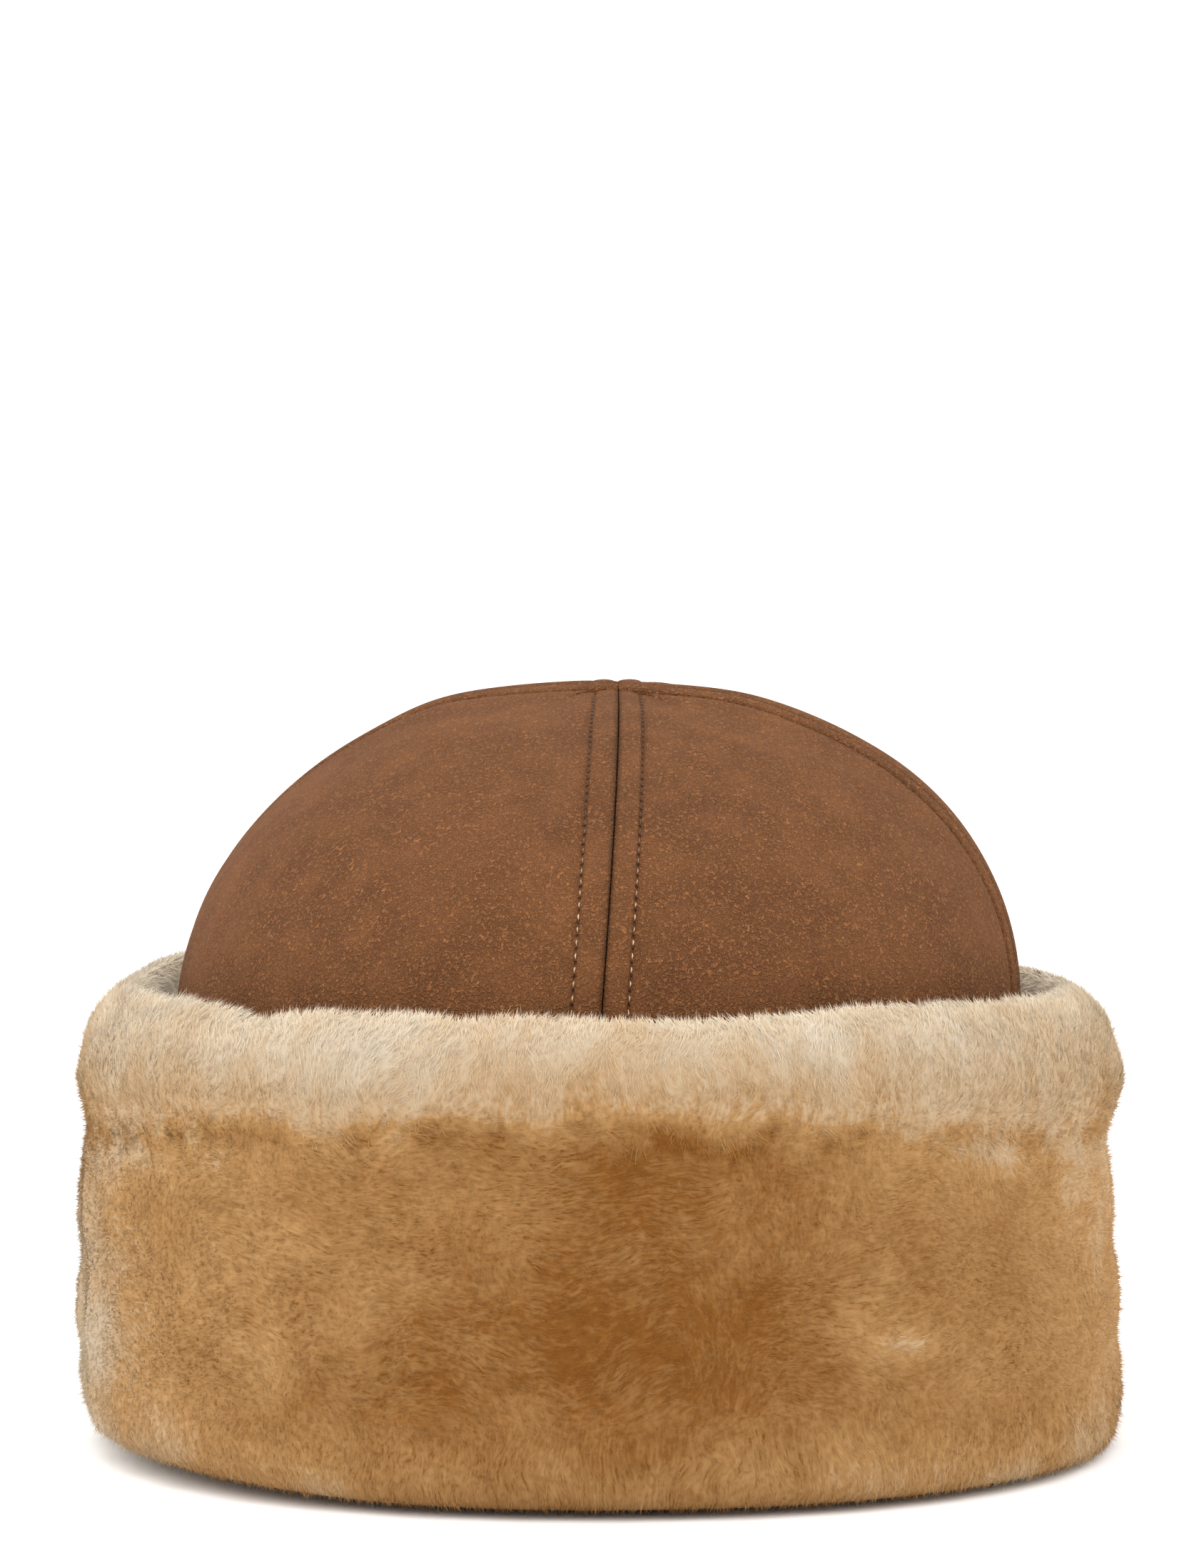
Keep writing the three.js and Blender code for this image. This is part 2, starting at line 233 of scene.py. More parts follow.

# Undercoat: width, length and contrast of its fine and its wide brush strokes, the shades over which the fur
# turns pale, how bright the pale undercoat is, which is a painted shade of the deep pile, size of the patches
# with dark gaps, how much darker and deeper the gaps are, partly browner roots and partly painted shade
# between the tufts, how far out along the hairs the rest is, and the depth of its relief
STROKE_SIZES = ((0.0007, 0.0021, 0.08), (0.0018, 0.0050, 0.045))
PALING = (0.45, 0.75)
PALE_SHARE = 0.66
GAP_PATCHES = 0.020
GAP_DARKER = 0.14
GAP_DEEPER = 0.4
UNDERCOAT_ALONG = 0.9
WIDE_RELIEF = 1.5
STROKE_BUMP = 0.0005

# Warm tint of the fur between golden and cream
WARM_TINT = (1.045, 1.04, 1.0, 1.0)

# Pile inside the dome: size of its curls and clouds, and its depth
PILE_CURL = 0.0034
PILE_CLOUD = 0.018
PILE_BUMP = 0.0025

# Form of the cuff

# Heights of the ragged line between the roll and the band and of the roll's ridge
SEAM_HEIGHT = {"side": 0.0755, "front": 0.085}
RIDGE_HEIGHT = {"side": 0.109, "front": 0.1104}

# How far the cuff's seam wanders up and down, and the distance between its turns
SEAM_WANDER = 0.0032
SEAM_TURNS = 0.022

# How much higher the roll's tips stand than its smoothed form: the heights over the seam between which
# that sets in, the rise everywhere, and in places as azimuth in degrees, spread in degrees and rise
ROLL_START = (0.006, 0.024)
ROLL_RISE = 0.0023
ROLL_SWELLS = (
    (-118.0, 16.0, 0.0002), (-58.0, 14.0, 0.0012), (-81.0, 9.0, -0.0010), (142.0, 14.0, 0.0010),
    (178.0, 24.0, -0.0020), (38.0, 22.0, -0.0020), (4.0, 24.0, -0.0026), (-130.0, 6.0, -0.0018),
    (156.0, 8.0, 0.0008), (-131.0, 2.4, -0.0012), (-104.0, 2.0, -0.0006), (-69.0, 2.4, -0.0007),
)

# How far out in plan the fur bridges the cuff's seam, as a share, and the height over which it does
SEAM_SHARE = {"front": 0.980, "left": 0.972, "right": 0.956}
SEAM_REACH = 0.006

# Shares of the way out in plan between which the fur of the cuff's seam sets in
SEAM_RIM = (0.90, 0.955)

# How far the hem is worn up off the surface, in front and where it is most, as azimuth, spread and rise,
# and the height up to which it is
HEM_RISE = 0.0008
HEM_WEAR = (-142.0, 22.0, 0.0014)
HEM_TOP = 0.022

# Size of the fur form's faces, and the length over which the solid's facets are smoothed away
VOXEL = 0.0024
SMOOTHING = 0.0098

# Where no fur is loose: against the dome, on faces turned in more than this, over the hem's fold and
# below the ridge by this depth, and in the seam's slot, on faces turned up or down more than this
FACES_DOME = -0.6
FOLD_HEIGHT = 0.011
BEHIND_RIDGE = 0.014
FACES_SLOT = 0.6
SLOT_REACH = 0.012

# Share of hairs under the hem: on faces turned down more than this and lower than this
UNDER_HEM = 0.45
FACES_FLOOR = -0.8
FLOOR_REACH = 0.004

# Lowest that the hairs' tips, their roots and the undercoat come
LOWEST_TIP = 0.0002
LOWEST_ROOT = 0.0006
LOWEST_UNDERCOAT = 0.0008

# Brush strokes

# Radius of the ring on which the cuff's brush strokes are drawn, and how far they sway: those that lie
# along the ring up and down, and upright ones sideways, each as size of a turn and sway
RING = 0.125
LYING_SWAYS = ((0.046, 0.012), (0.013, 0.0022), (0.0045, 0.0008))
UPRIGHT_SWAYS = ((0.030, 0.007), (0.010, 0.0028), (0.0040, 0.0010))

# Where strokes are upright: heights over the cuff's seam between which that sets in, the height where
# the hem's begin and how far down they fade in, and the strength and size of patches elsewhere
UPRIGHT_ROLL = (-0.002, 0.008)
UPRIGHT_HEM = 0.030
UPRIGHT_HEM_FADE = 0.018
UPRIGHT_PATCH = 0.7
UPRIGHT_PATCH_SIZE = 0.024

# Hairs hang on the band and stand up on the roll: heights over the seam of the change, the lean in runs,
# and the part of it that is wild, usually, at the seam, and how far from the seam
STANDS_UP = (0.001, 0.008)
LEAN = 1.1
WILD = 0.22
WILD_AT_SEAM = 0.6
WILD_REACH = 0.005

# Shades of the fur

# Clouds of both parts as size, strength and seed, and how strongly the roll and the band show them
FUR_CLOUDS = ((0.050, 0.10, 41.0), (0.019, 0.08, 42.0), (0.008, 0.05, 43.0))
ROLL_CLOUDS = 0.9
BAND_CLOUDS = 1.5

# Roll: its shade at the seam and on its ridge, of which the one rises and the other falls to the right, its
# streaks, drawn out upwards, and the painted light on its inner side, which lies in shade behind the dome,
# from this share of the way out in plan
ROLL_LOW = 0.58
ROLL_LOW_RIGHT = 0.02
ROLL_HIGH = 0.88
ROLL_HIGH_RIGHT = 0.05
STREAKS = 0.07
STREAK_SIZE = 0.0055
STREAK_DRAWN = 0.25
INNER_EDGE = 0.93
INNER_PAINTED_LIGHT = 0.14

# Band: its shade in front, how much paler it is at the left and right, partly its own colour and partly a
# painted sheen where the fur is seen edge on, less on the right as a painted shade of that side, and how much
# paler at its hem, under the roll and in patches, and where these begin and fade
BAND_SHADE = 0.035
LEFT_PALER = 0.54
RIGHT_PALER = 0.42
HEM_PALER = 0.16
HEM_EDGE = 0.020
HEM_FADE = 0.016
UPPER_PALER = 0.16
UPPER_REACH = 0.008
PALE_PATCHES = 0.12
PALE_SIZE = 0.027

# Paler and browner patches of the band: azimuth and its spread in degrees, height and its spread, shade. The
# last two, at the left and right sides, add to their paleness, partly a painted sheen where the fur is seen
# edge on
BAND_PATCHES = (
    (-90.0, 24.0, 0.040, 0.020, -0.10), (-118.0, 14.0, 0.058, 0.016, 0.10),
    (-66.0, 16.0, 0.062, 0.014, 0.06), (-58.5, 4.0, 0.037, 0.004, 0.30),
    (-108.0, 5.0, 0.068, 0.006, 0.16), (-40.0, 10.0, 0.036, 0.016, 0.10),
    (-142.0, 9.0, 0.066, 0.010, -0.14), (-74.0, 26.0, 0.008, 0.010, 0.14),
    (-128.0, 12.0, 0.026, 0.014, -0.06), (-33.0, 6.0, 0.072, 0.006, -0.12),
    (-150.0, 18.0, 0.030, 0.024, 0.08), (-126.0, 7.0, 0.036, 0.007, 0.12),
    (180.0, 20.0, 0.040, 0.040, 0.12), (0.0, 14.0, 0.040, 0.040, 0.12),
)

# Change of shade at the cuff's seam: how ragged it is, over which heights, and the dark line under it, partly
# browner clumps and partly painted shadow under the roll
RAGGED = 0.004
RAGGED_SIZE = 0.006
SHADE_CHANGE = (-0.004, 0.006)
SEAM_CLUMPS_AND_SHADE = 0.24
LINE_REACH = 0.0032
LINE_SIZE = 0.010

# Hairs

# Tufts: how their tones differ, how strongly they pull their hairs together, and their blurred edges
TUFT_TONE = 0.012
TUFT_HOLD = (0.1, 0.45)
TUFT_BLUR = 0.2

# Hairs: depth of the roots in loose fur, their own lean, runs, widths and tones, how far the tips reach
# and how much shorter some are, and the whole range of tones
ROOT_DEPTH = (1.5, 1.9)
HAIR_LEAN = 0.16
HAIR_RUN = (0.7, 1.25)
HAIR_WIDTHS = (0.75, 1.25)
HAIR_TONE = 0.014
HAIR_REACH = 0.0001
HAIR_SHORTER = 0.4
TONE_RANGE = (0.02, 0.98)

# Stray hairs: their share, least reach and what is added to it, how rare the longest are, run and width
STRAYS = 0.30
STRAY_REACH = (0.0002, 0.0018)
STRAY_POWER = 1.3
STRAY_RUN = 0.35
STRAY_WIDTH = 0.6

# Odd hairs: dark below the one share and pale above the other, how their tones differ and how much of
# that the roll shows, and how much longer pale ones run
DARK_HAIRS = 0.05
PALE_HAIRS = 0.94
DARK_TONE = -0.16
PALE_TONE = 0.12
ROLL_ODD = 0.5
PALE_RUN = 1.25

# Locks over the cuff's seam: how far they reach out, how far from the seam, and their size
SEAM_LOCKS = 0.0008
SEAM_LOCKS_REACH = 0.004
SEAM_LOCKS_SIZE = 0.007

# Hairs on the roll's ridge: how far faces there turn up, the share of tall ones, and both reaches
RIDGE_FACING = (0.35, 0.8)
RIDGE_TALL = 0.3
RIDGE_TALLEST = 0.0010
RIDGE_REACH = 0.0003

# A hair's three faces between its three root corners and its tip, where each corner lies on the map, as
# shade beside the hair's own and place along it, how round it looks, and a step aside that keeps the
# direction across a hair certain where the hair stands straight out
SPIKE_FACES = ((0, 1, 3), (1, 2, 3), (2, 0, 3))
SPIKE_MAP = ((-0.006, 0.02), (0.0, 0.02), (0.006, 0.02), (0.0, 0.98))
HAIR_ROUNDNESS = 0.12
NEVER_ALONG = (0.013, 0.007, 0.0)

# Number of pieces round the hat that the band's hairs are in, and the roll's too
HAIR_PIECES = 4


class DomeSettings(bpy.types.PropertyGroup):
    half_width: FloatProperty(
        name="Half width", description="From the middle of the dome to its side",
        default=0.0992, unit="LENGTH",
    )
    extra_depth: FloatProperty(
        name="Extra half depth", description="How much deeper than wide each half of the dome is",
        default=0.010, unit="LENGTH",
    )
    plan_roundness: FloatProperty(
        name="Plan roundness", description="2 for an ellipse, and more for fuller corners", default=2.12,
    )
    roundness_right: FloatProperty(
        name="Roundness on the right", description="2 for a round curve, and more for a fuller shoulder",
        default=2.06,
    )
    roundness_left: FloatProperty(
        name="Roundness on the left", description="2 for a round curve, and more for a fuller shoulder",
        default=2.12,
    )
    wall: FloatProperty(
        name="Wall", description="Thickness of the shearling, suede and pile together",
        default=0.004, unit="LENGTH",
    )
    edge_height: FloatProperty(
        name="Edge height", description="Where the panels end inside the cuff",
        default=0.012, unit="LENGTH",
    )
    start_height: FloatProperty(
        name="Dome start", description="Height at which the wall begins to curve in",
        default=0.102, unit="LENGTH",
    )
    height: FloatProperty(
        name="Dome height", description="From the start of the curve to the apex",
        default=0.0750, unit="LENGTH",
    )
    apex_x: FloatProperty(
        name="Apex to the right", description="How far the dome leans to the right at its apex",
        default=0.0044, unit="LENGTH",
    )
    apex_y: FloatProperty(
        name="Apex to the back", description="How far the dome leans back at its apex",
        default=0.008, unit="LENGTH",
    )
    tilt: FloatProperty(
        name="Tilt", description="How steeply the top goes on rising behind the apex, as a slope",
        default=0.075,
    )
    rib_rise: FloatProperty(
        name="Rib rise", description="How far the turned-back allowances stand up beside a seam",
        default=0.0014, unit="LENGTH",
    )
    puff: FloatProperty(
        name="Puff", description="How far the suede swells beside a line of topstitching",
        default=0.0005, unit="LENGTH",
    )
    sway: FloatProperty(
        name="Sway", description="Height of the soft unevenness of the suede",
        default=0.0006, unit="LENGTH",
    )
    rows: IntProperty(
        name="Rows", description="Rows of faces from the start of the curve to the apex", default=84,
    )
    columns: IntProperty(
        name="Columns", description="Columns of faces between the ribs of a panel", default=34,
    )


class StitchSettings(bpy.types.PropertyGroup):
    pitch: FloatProperty(
        name="Pitch", description="From one stitch to the next", default=0.0033, unit="LENGTH",
    )
    length: FloatProperty(
        name="Length", description="Length of the thread that shows", default=0.0018, unit="LENGTH",
    )
    thickness: FloatProperty(
        name="Thickness", description="Diameter of the thread", default=0.00042, unit="LENGTH",
    )
    across: FloatProperty(
        name="Across", description="Distance of the stitching from its seam",
        default=0.0064, unit="LENGTH",
    )
    lowest: FloatProperty(
        name="Lowest", description="Height below which the cuff hides the stitching",
        default=0.096, unit="LENGTH",
    )


class FurSettings(bpy.types.PropertyGroup):
    hairs_band: IntProperty(name="Band hairs", description="Hairs of the band", default=128000)
    hairs_roll: IntProperty(name="Roll hairs", description="Hairs of the roll", default=108000)
    loose: FloatProperty(
        name="Loose fur", description="Depth of the loose hairs over the undercoat",
        default=0.00065, unit="LENGTH",
    )
    run_band: FloatProperty(
        name="Band hair run", description="How far a combed hair of the band lies along the surface",
        default=0.0021, unit="LENGTH",
    )
    run_roll: FloatProperty(
        name="Roll hair run", description="How far a combed hair of the roll lies along the surface",
        default=0.0027, unit="LENGTH",
    )
    hair_width: FloatProperty(
        name="Hair width", description="Width of one strand of hairs at its root",
        default=0.00028, unit="LENGTH",
    )
    # The undercoat's colour is darkened by this share, a painted shade of the deep pile that matches it to
    # the self-shaded hairs
    undercoat_share: FloatProperty(
        name="Undercoat share", description="How bright the undercoat's colour is beside the hairs'",
        default=0.74,
    )
    tuft: FloatProperty(
        name="Tuft", description="Distance between tufts", default=0.0017, unit="LENGTH",
    )
    brown: FloatVectorProperty(
        name="Brown", description="The darkest fur", subtype="COLOR", default=(0.236, 0.090, 0.017),
    )
    golden: FloatVectorProperty(
        name="Golden", description="Fur between the darkest and the palest", subtype="COLOR",
        default=(0.490, 0.275, 0.107),
    )
    cream: FloatVectorProperty(
        name="Cream", description="The palest fur", subtype="COLOR", default=(0.774, 0.680, 0.540),
    )
    depth_tint: FloatVectorProperty(
        name="Depth tint", description="How the fur's colour changes towards its roots", subtype="COLOR",
        default=(0.86, 0.78, 0.66),
    )


class SuedeSettings(bpy.types.PropertyGroup):
    light: FloatVectorProperty(
        name="Light", description="Suede brushed towards the light", subtype="COLOR",
        default=(0.262, 0.1065, 0.0400),
    )
    dark: FloatVectorProperty(
        name="Dark", description="Suede brushed away from the light", subtype="COLOR",
        default=(0.074, 0.0276, 0.0102),
    )
    thread: FloatVectorProperty(
        name="Thread", description="Topstitching", subtype="COLOR", default=(0.62, 0.42, 0.26),
    )
    nap: FloatProperty(
        name="Nap", description="Size of one curl of the nap", default=0.0023, unit="LENGTH",
    )


class StageSettings(bpy.types.PropertyGroup):
    target_height: FloatProperty(
        name="Target height", description="Height of the point that the camera looks at",
        default=0.095, unit="LENGTH",
    )
    elevation: FloatProperty(
        name="Elevation", description="Angle of the camera above the floor",
        default=math.radians(5.5), subtype="ANGLE",
    )
    distance: FloatProperty(
        name="Distance", description="From the camera to its target", default=1.8, unit="LENGTH",
    )
    lens: FloatProperty(name="Lens", description="Focal length in mm", default=174.6)
    shift: FloatProperty(
        name="Shift", description="Lens shift that frames the hat below the picture's middle",
        default=0.1614,
    )


def alone(*objects):
    """Selects only these objects, and makes the first one active."""
    bpy.ops.object.select_all(action="DESELECT")
    for item in objects:
        item.select_set(True)
    bpy.context.view_layer.objects.active = objects[0]


def apply_modifiers(piece):
    alone(piece)
    for modifier in list(piece.modifiers):
        bpy.ops.object.modifier_apply(modifier=modifier.name)


def enter_edit_mode():
    """Opens the active object in edit mode, with all of its faces selected."""
    bpy.ops.object.mode_set(mode="EDIT")
    bpy.ops.mesh.select_all(action="SELECT")


def placed(name, data):
    """A new object of the scene, which stands at the origin."""
    item = bpy.data.objects.new(name, data)
    bpy.context.scene.collection.objects.link(item)
    return item


def new_piece(name, points, faces):
    """A smooth object with its place in its mesh."""
    mesh = bpy.data.meshes.new(name)
    mesh.from_pydata(np.asarray(points).tolist(), [], faces)
    mesh.polygons.foreach_set("use_smooth", np.ones(len(mesh.polygons), dtype=bool))
    return placed(name, mesh)


def move_points(piece, points):
    piece.data.vertices.foreach_set("co", points.ravel())
    piece.data.update()


def mix(low, high, share):
    return low + (high - low) * share


def smoothstep(value, low, high):
    share = np.clip((value - low) / (high - low), 0.0, 1.0)
    return share * share * (3.0 - 2.0 * share)


def hump(value, reach):
    """1 where the value is 0, falling softly to almost nothing at twice the reach."""
    return np.exp(-(value / reach) ** 2)


def turned(azimuth, place):
    """Angle from a place round the hat to each azimuth, in degrees from -180 to 180."""
    return (azimuth - place + 180.0) % 360.0 - 180.0


def azimuths(points):
    """Angle of each point round the hat, in radians from +X towards +Y."""
    return np.arctan2(points[:, 1], points[:, 0])


def unit(vectors):
    return vectors / np.maximum(np.linalg.norm(vectors, axis=-1, keepdims=True), TINY)


def noise_at(points, size, seed):
    """Smooth noise from -1 to 1 with features of this size, at each point."""
    offset = Vector([seed * step for step in SEED_STEPS])
    flat = np.asarray(points).reshape(-1, 3) / size
    values = [noise.noise(Vector(place) + offset) for place in flat.tolist()]
    return np.array(values).reshape(np.asarray(points).shape[:-1])


def layered_noise(points, layers):
    """Noise of several sizes together. Each layer has its size, its strength and its seed."""
    return sum(strength * noise_at(points, size, seed) for size, strength, seed in layers)


# Surface of the dome

def plan_power(share, roundness):
    return np.sign(share) * np.abs(share) ** (2.0 / roundness)


def dome_shares(dome, azimuth, angle):
    """How wide the dome is at this angle up its curve, and how high it has come, as shares."""
    side = (1.0 + np.cos(azimuth)) / 2.0
    power = 2.0 / mix(dome.roundness_left, dome.roundness_right, side)
    return np.cos(angle) ** power, np.sin(angle) ** power


def dome_point(dome, azimuth, angle, wall_z, inset, rise):
    """Points of the dome, and its outward direction there. The wall's rows have angle 0 and their height
    in wall_z."""
    spread, lift = dome_shares(dome, azimuth, angle)
    half_width = dome.half_width - inset
    half_depth = half_width + dome.extra_depth
    z = np.where(angle > 0.0, dome.start_height + (dome.height - inset) * lift, wall_z)
    free = smoothstep(z, *(dome.start_height + beside for beside in FREE_FROM))
    shift = mix(free * -LEFT_LEAN, dome.apex_x, lift)
    outward = unit(np.stack([np.cos(azimuth) * spread, np.sin(azimuth) * spread, lift], axis=-1))
    forward = half_depth * spread * plan_power(np.sin(azimuth), dome.plan_roundness)
    point = np.stack([
        shift + half_width * spread * plan_power(np.cos(azimuth), dome.plan_roundness),
        dome.apex_y * lift + forward,
        z + dome.tilt * forward * lift ** 2,
    ], axis=-1)
    return point + outward * (rise * free)[..., None], outward


def row_table(dome):
    """Angle and wall height of each row of a panel, from its lower edge to just short of the apex."""
    wall = np.linspace(dome.edge_height, dome.start_height - WALL_END, WALL_ROWS)
    usual = mix(*CURVE_ANGLES, 1.0 - (1.0 - np.linspace(0.0, 1.0, dome.rows)) ** ROW_CROWDING)
    angle = np.radians(np.sort(np.concatenate([usual, np.linspace(*CROSSING_ROWS)])))
    angles = np.concatenate([np.zeros(len(wall)), angle])
    heights = np.concatenate([wall, np.full(len(angle), dome.start_height)])
    return angles, heights


def row_columns(dome, panel, angles, inset):
    """For each row its columns' distances from both seams in usual ribs, and their azimuths."""
    first, last, first_rib, last_rib = panel
    start, end = math.radians(SEAMS[first]), math.radians(SEAMS[last])
    end = end + (FULL_TURN if end < start else 0.0)
    middle = (start + end) / 2.0
    spread, _ = dome_shares(dome, middle, angles[:, None])
    radius = (dome.half_width - inset + dome.extra_depth / 2.0) * spread
    width = radius * (end - start)
    table = np.array(SEAM_COLUMNS)
    near, far = (
        np.minimum(table[:, 0] * MM * rib / USUAL_RIB, table[:, 1] * width) for rib in (first_rib, last_rib)
    )
    steps = np.linspace(0.0, 1.0, dome.columns + 2)[1:-1]
    middles = near[:, -1:] + (width - near[:, -1:] - far[:, -1:]) * steps
    across = np.concatenate([near, middles, width - far[:, ::-1]], axis=1)
    azimuth = middle + (across - width / 2.0) / radius
    from_first = across * USUAL_RIB / first_rib
    from_last = (width - across) * USUAL_RIB / last_rib
    return from_first, from_last, azimuth


def rib_rise(dome, across, top):
    """Height of the rib, the crease of its topstitching and the puff beside it, at a distance from a seam.
    Towards the top, where top nears 1, the rib is rounder."""
    mm = across / MM
    bow = np.sin(np.pi * np.clip(mm / USUAL_RIB, 0.0, 1.0))
    low_rib, top_rib = (edge + middle * bow for edge, middle in (RIB_LOW, RIB_TOP))
    beyond = BEYOND_RISE * (1.0 - smoothstep(mm, *BEYOND_END))
    body = mix(mix(low_rib, top_rib, top), beyond, smoothstep(mm, *RIB_END))
    rounded = np.sqrt(np.clip(1.0 - (1.0 - np.clip(mm / RIB_EDGE, 0.0, 1.0)) ** 2, 0.0, 1.0))
    crease = -CREASE_DEPTH * hump(mm - USUAL_RIB, CREASE_SPREAD)
    puff = hump(mm - PUFF_MIDDLE, PUFF_SPREAD) * smoothstep(mm, *PUFF_START)
    return dome.rib_rise * (body * mix(GROOVE_RISE, 1.0, rounded) + crease) + dome.puff * puff


def crossed_rise(dome, cross, other, top):
    """Height of the suede near two seams. The side-to-side seam's ribs, at distance cross, run on over
    the ends of the front and back seam's, at distance other."""
    sets_in = smoothstep(top, *CROSSING_TOP)
    over = (1.0 - smoothstep(cross / MM, *CROSSING_EDGE)) * sets_in
    under = 1.0 - DIP_DEPTH * hump(cross / MM - DIP_MIDDLE, DIP_SPREAD) * sets_in
    cross_rise = rib_rise(dome, cross, np.maximum(top, CROSSING_ROUNDNESS))
    other_rise = rib_rise(dome, other, top) * mix(1.0, OTHER_LOWERED, top)
    usual = np.where(cross < other, cross_rise, other_rise * under)
    return mix(usual, cross_rise + OTHER_SHOWS * other_rise, over)


def panel_outer(dome, panel):
    """The suede face of a panel as rows of points, their distances from the nearest seam, and whether
    that is the panel's first seam."""
    angles, heights = row_table(dome)
    from_first, from_last, azimuth = row_columns(dome, panel, angles, 0.0)
    nearest = np.minimum(from_first, from_last)
    top = smoothstep(np.degrees(angles), *TOP_ANGLES)[:, None]
    cross, other = (from_first, from_last) if panel[0] in ("left", "right") else (from_last, from_first)
    rise = crossed_rise(dome, cross, other, top)
    flat, outward = dome_point(dome, azimuth, angles[:, None], heights[:, None], 0.0, rise * 0.0)
    point, _ = dome_point(dome, azimuth, angles[:, None], heights[:, None], 0.0, rise)
    free = smoothstep(nearest, *(distance * MM for distance in SWAY_START))
    swell = 0.0
    for place, spread, height, reach, swelling in DOME_SWELLS:
        beside = hump(turned(np.degrees(azimuth), place), spread)
        swell = swell + swelling * beside * hump(np.degrees(angles)[:, None] - height, reach)
    sway = dome.sway * layered_noise(flat, SUEDE_SWAYS) * mix(SWAY_ON_RIBS, 1.0, free)
    on_cross = (cross < CROSSING_EDGE[1] * MM) & (top > 0.5)
    nearest = np.where(on_cross, cross, nearest)
    first_nearest = np.where(on_cross, cross is from_first, from_first < from_last)
    return point + outward * (sway + swell)[..., None], nearest, first_nearest


def dome_panel(context, name, panel):
    """One quarter panel: its suede outer face, its pile inside, its lower edge and its two seam edges."""
    dome = context.scene.hat_dome
    outer, nearest, first_nearest = panel_outer(dome, panel)
    angles, heights = row_table(dome)
    from_first, _, azimuth = row_columns(dome, panel, angles, dome.wall)
    inner, _ = dome_point(dome, azimuth, angles[:, None], heights[:, None], dome.wall, 0.0 * from_first)
    rows, columns = outer.shape[:2]
    apex = np.array([dome.apex_x, dome.apex_y, dome.start_height + dome.height])
    bisector = azimuth[-1].mean()
    corner = np.array([math.cos(bisector), math.sin(bisector), 0.0]) * TIP_GAP * MM
    outer_tip = apex + corner + [0.0, 0.0, dome.rib_rise * TIP_RISE]
    inner_tip = apex + corner - [0.0, 0.0, dome.wall]
    points = np.concatenate([outer.reshape(-1, 3), inner.reshape(-1, 3), [outer_tip, inner_tip]])
    grid = np.arange(rows * columns).reshape(rows, columns)
    deep = grid + rows * columns
    tip, deep_tip = 2 * rows * columns, 2 * rows * columns + 1
    faces = []

    def strip(low, high):
        faces.extend(zip(low[:-1], low[1:], high[1:], high[:-1]))

    for row in range(rows - 1):
        strip(grid[row], grid[row + 1])
        strip(deep[row + 1], deep[row])
    strip(deep[0], grid[0])
    strip(grid[:, 0], deep[:, 0])
    strip(deep[:, -1], grid[:, -1])
    faces += [(a, b, tip) for a, b in zip(grid[-1, :-1], grid[-1, 1:])]
    faces += [(b, a, deep_tip) for a, b in zip(deep[-1, :-1], deep[-1, 1:])]
    faces += [(grid[-1, 0], tip, deep_tip, deep[-1, 0]), (grid[-1, -1], deep[-1, -1], deep_tip, tip)]
    piece = new_piece(name + "_suede", points, [list(map(int, face)) for face in faces])
    seam_map(piece, context.scene.hat_stitches, outer, nearest, first_nearest)
    piece.data.materials.append(bpy.data.materials["brushed_suede"])
    piece.data.materials.append(bpy.data.materials["short_pile"])
    inside = [all(i >= rows * columns and i != tip for i in face) for face in faces]
    piece.data.polygons.foreach_set("material_index", np.array(inside, dtype=np.int32))
    return piece


def stitch_column(stitches):
    """The column of a panel on which the topstitching lies."""
    return int(np.argmin(np.abs(np.array(SEAM_COLUMNS)[:, 0] * MM - stitches.across)))


def run_lengths(line):
    """Length of a line of points from its start to each of them."""
    return np.concatenate([[0.0], np.cumsum(np.linalg.norm(np.diff(line, axis=0), axis=1))])


def seam_map(piece, stitches, outer, nearest, first_nearest):
    """A UV map: distance from the nearest seam in cm, and distance along it in stitches."""
    rows, columns = nearest.shape
    near = stitch_column(stitches)
    first, last = (run_lengths(outer[:, column]) / stitches.pitch for column in (near, columns - 1 - near))
    values = np.zeros((len(piece.data.vertices), 2))
    values[:rows * columns, 0] = (nearest / CM).ravel()
    values[:rows * columns, 1] = np.where(first_nearest, first[:, None], last[:, None]).ravel()
    values[rows * columns:, 0] = PILE_ACROSS
    index = np.zeros(len(piece.data.loops), dtype=np.int32)
    piece.data.loops.foreach_get("vertex_index", index)
    layer = piece.data.uv_layers.new(name="seam")
    layer.data.foreach_set("uv", values[index].ravel())


# Node helpers

def give(tree, node, values):
    """Gives inputs of a node their values, each the output of another node or a plain one."""
    for key, value in values.items():
        socket = node.inputs[key]
        if isinstance(value, bpy.types.NodeSocket):
            tree.links.new(value, socket)
        else:
            socket.default_value = value


def add_node(tree, kind, inputs=None, **settings):
    node = tree.nodes.new(kind)
    for key, value in settings.items():
        setattr(node, key, value)
    give(tree, node, inputs or {})
    return node


def arithmetic(tree, operation, first, second=0.0, clamp=False):
    node = add_node(tree, "ShaderNodeMath", {0: first, 1: second}, operation=operation, use_clamp=clamp)
    return node.outputs[0]


def times(tree, first, second, clamp=False):
    return arithmetic(tree, "MULTIPLY", first, second, clamp)


def plus(tree, first, second, clamp=False):
    return arithmetic(tree, "ADD", first, second, clamp)


def minus(tree, first, second, clamp=False):
    return arithmetic(tree, "SUBTRACT", first, second, clamp)


def larger(tree, first, second):
    return arithmetic(tree, "MAXIMUM", first, second)


def distance_from(tree, value, middle):
    return arithmetic(tree, "ABSOLUTE", minus(tree, value, middle))


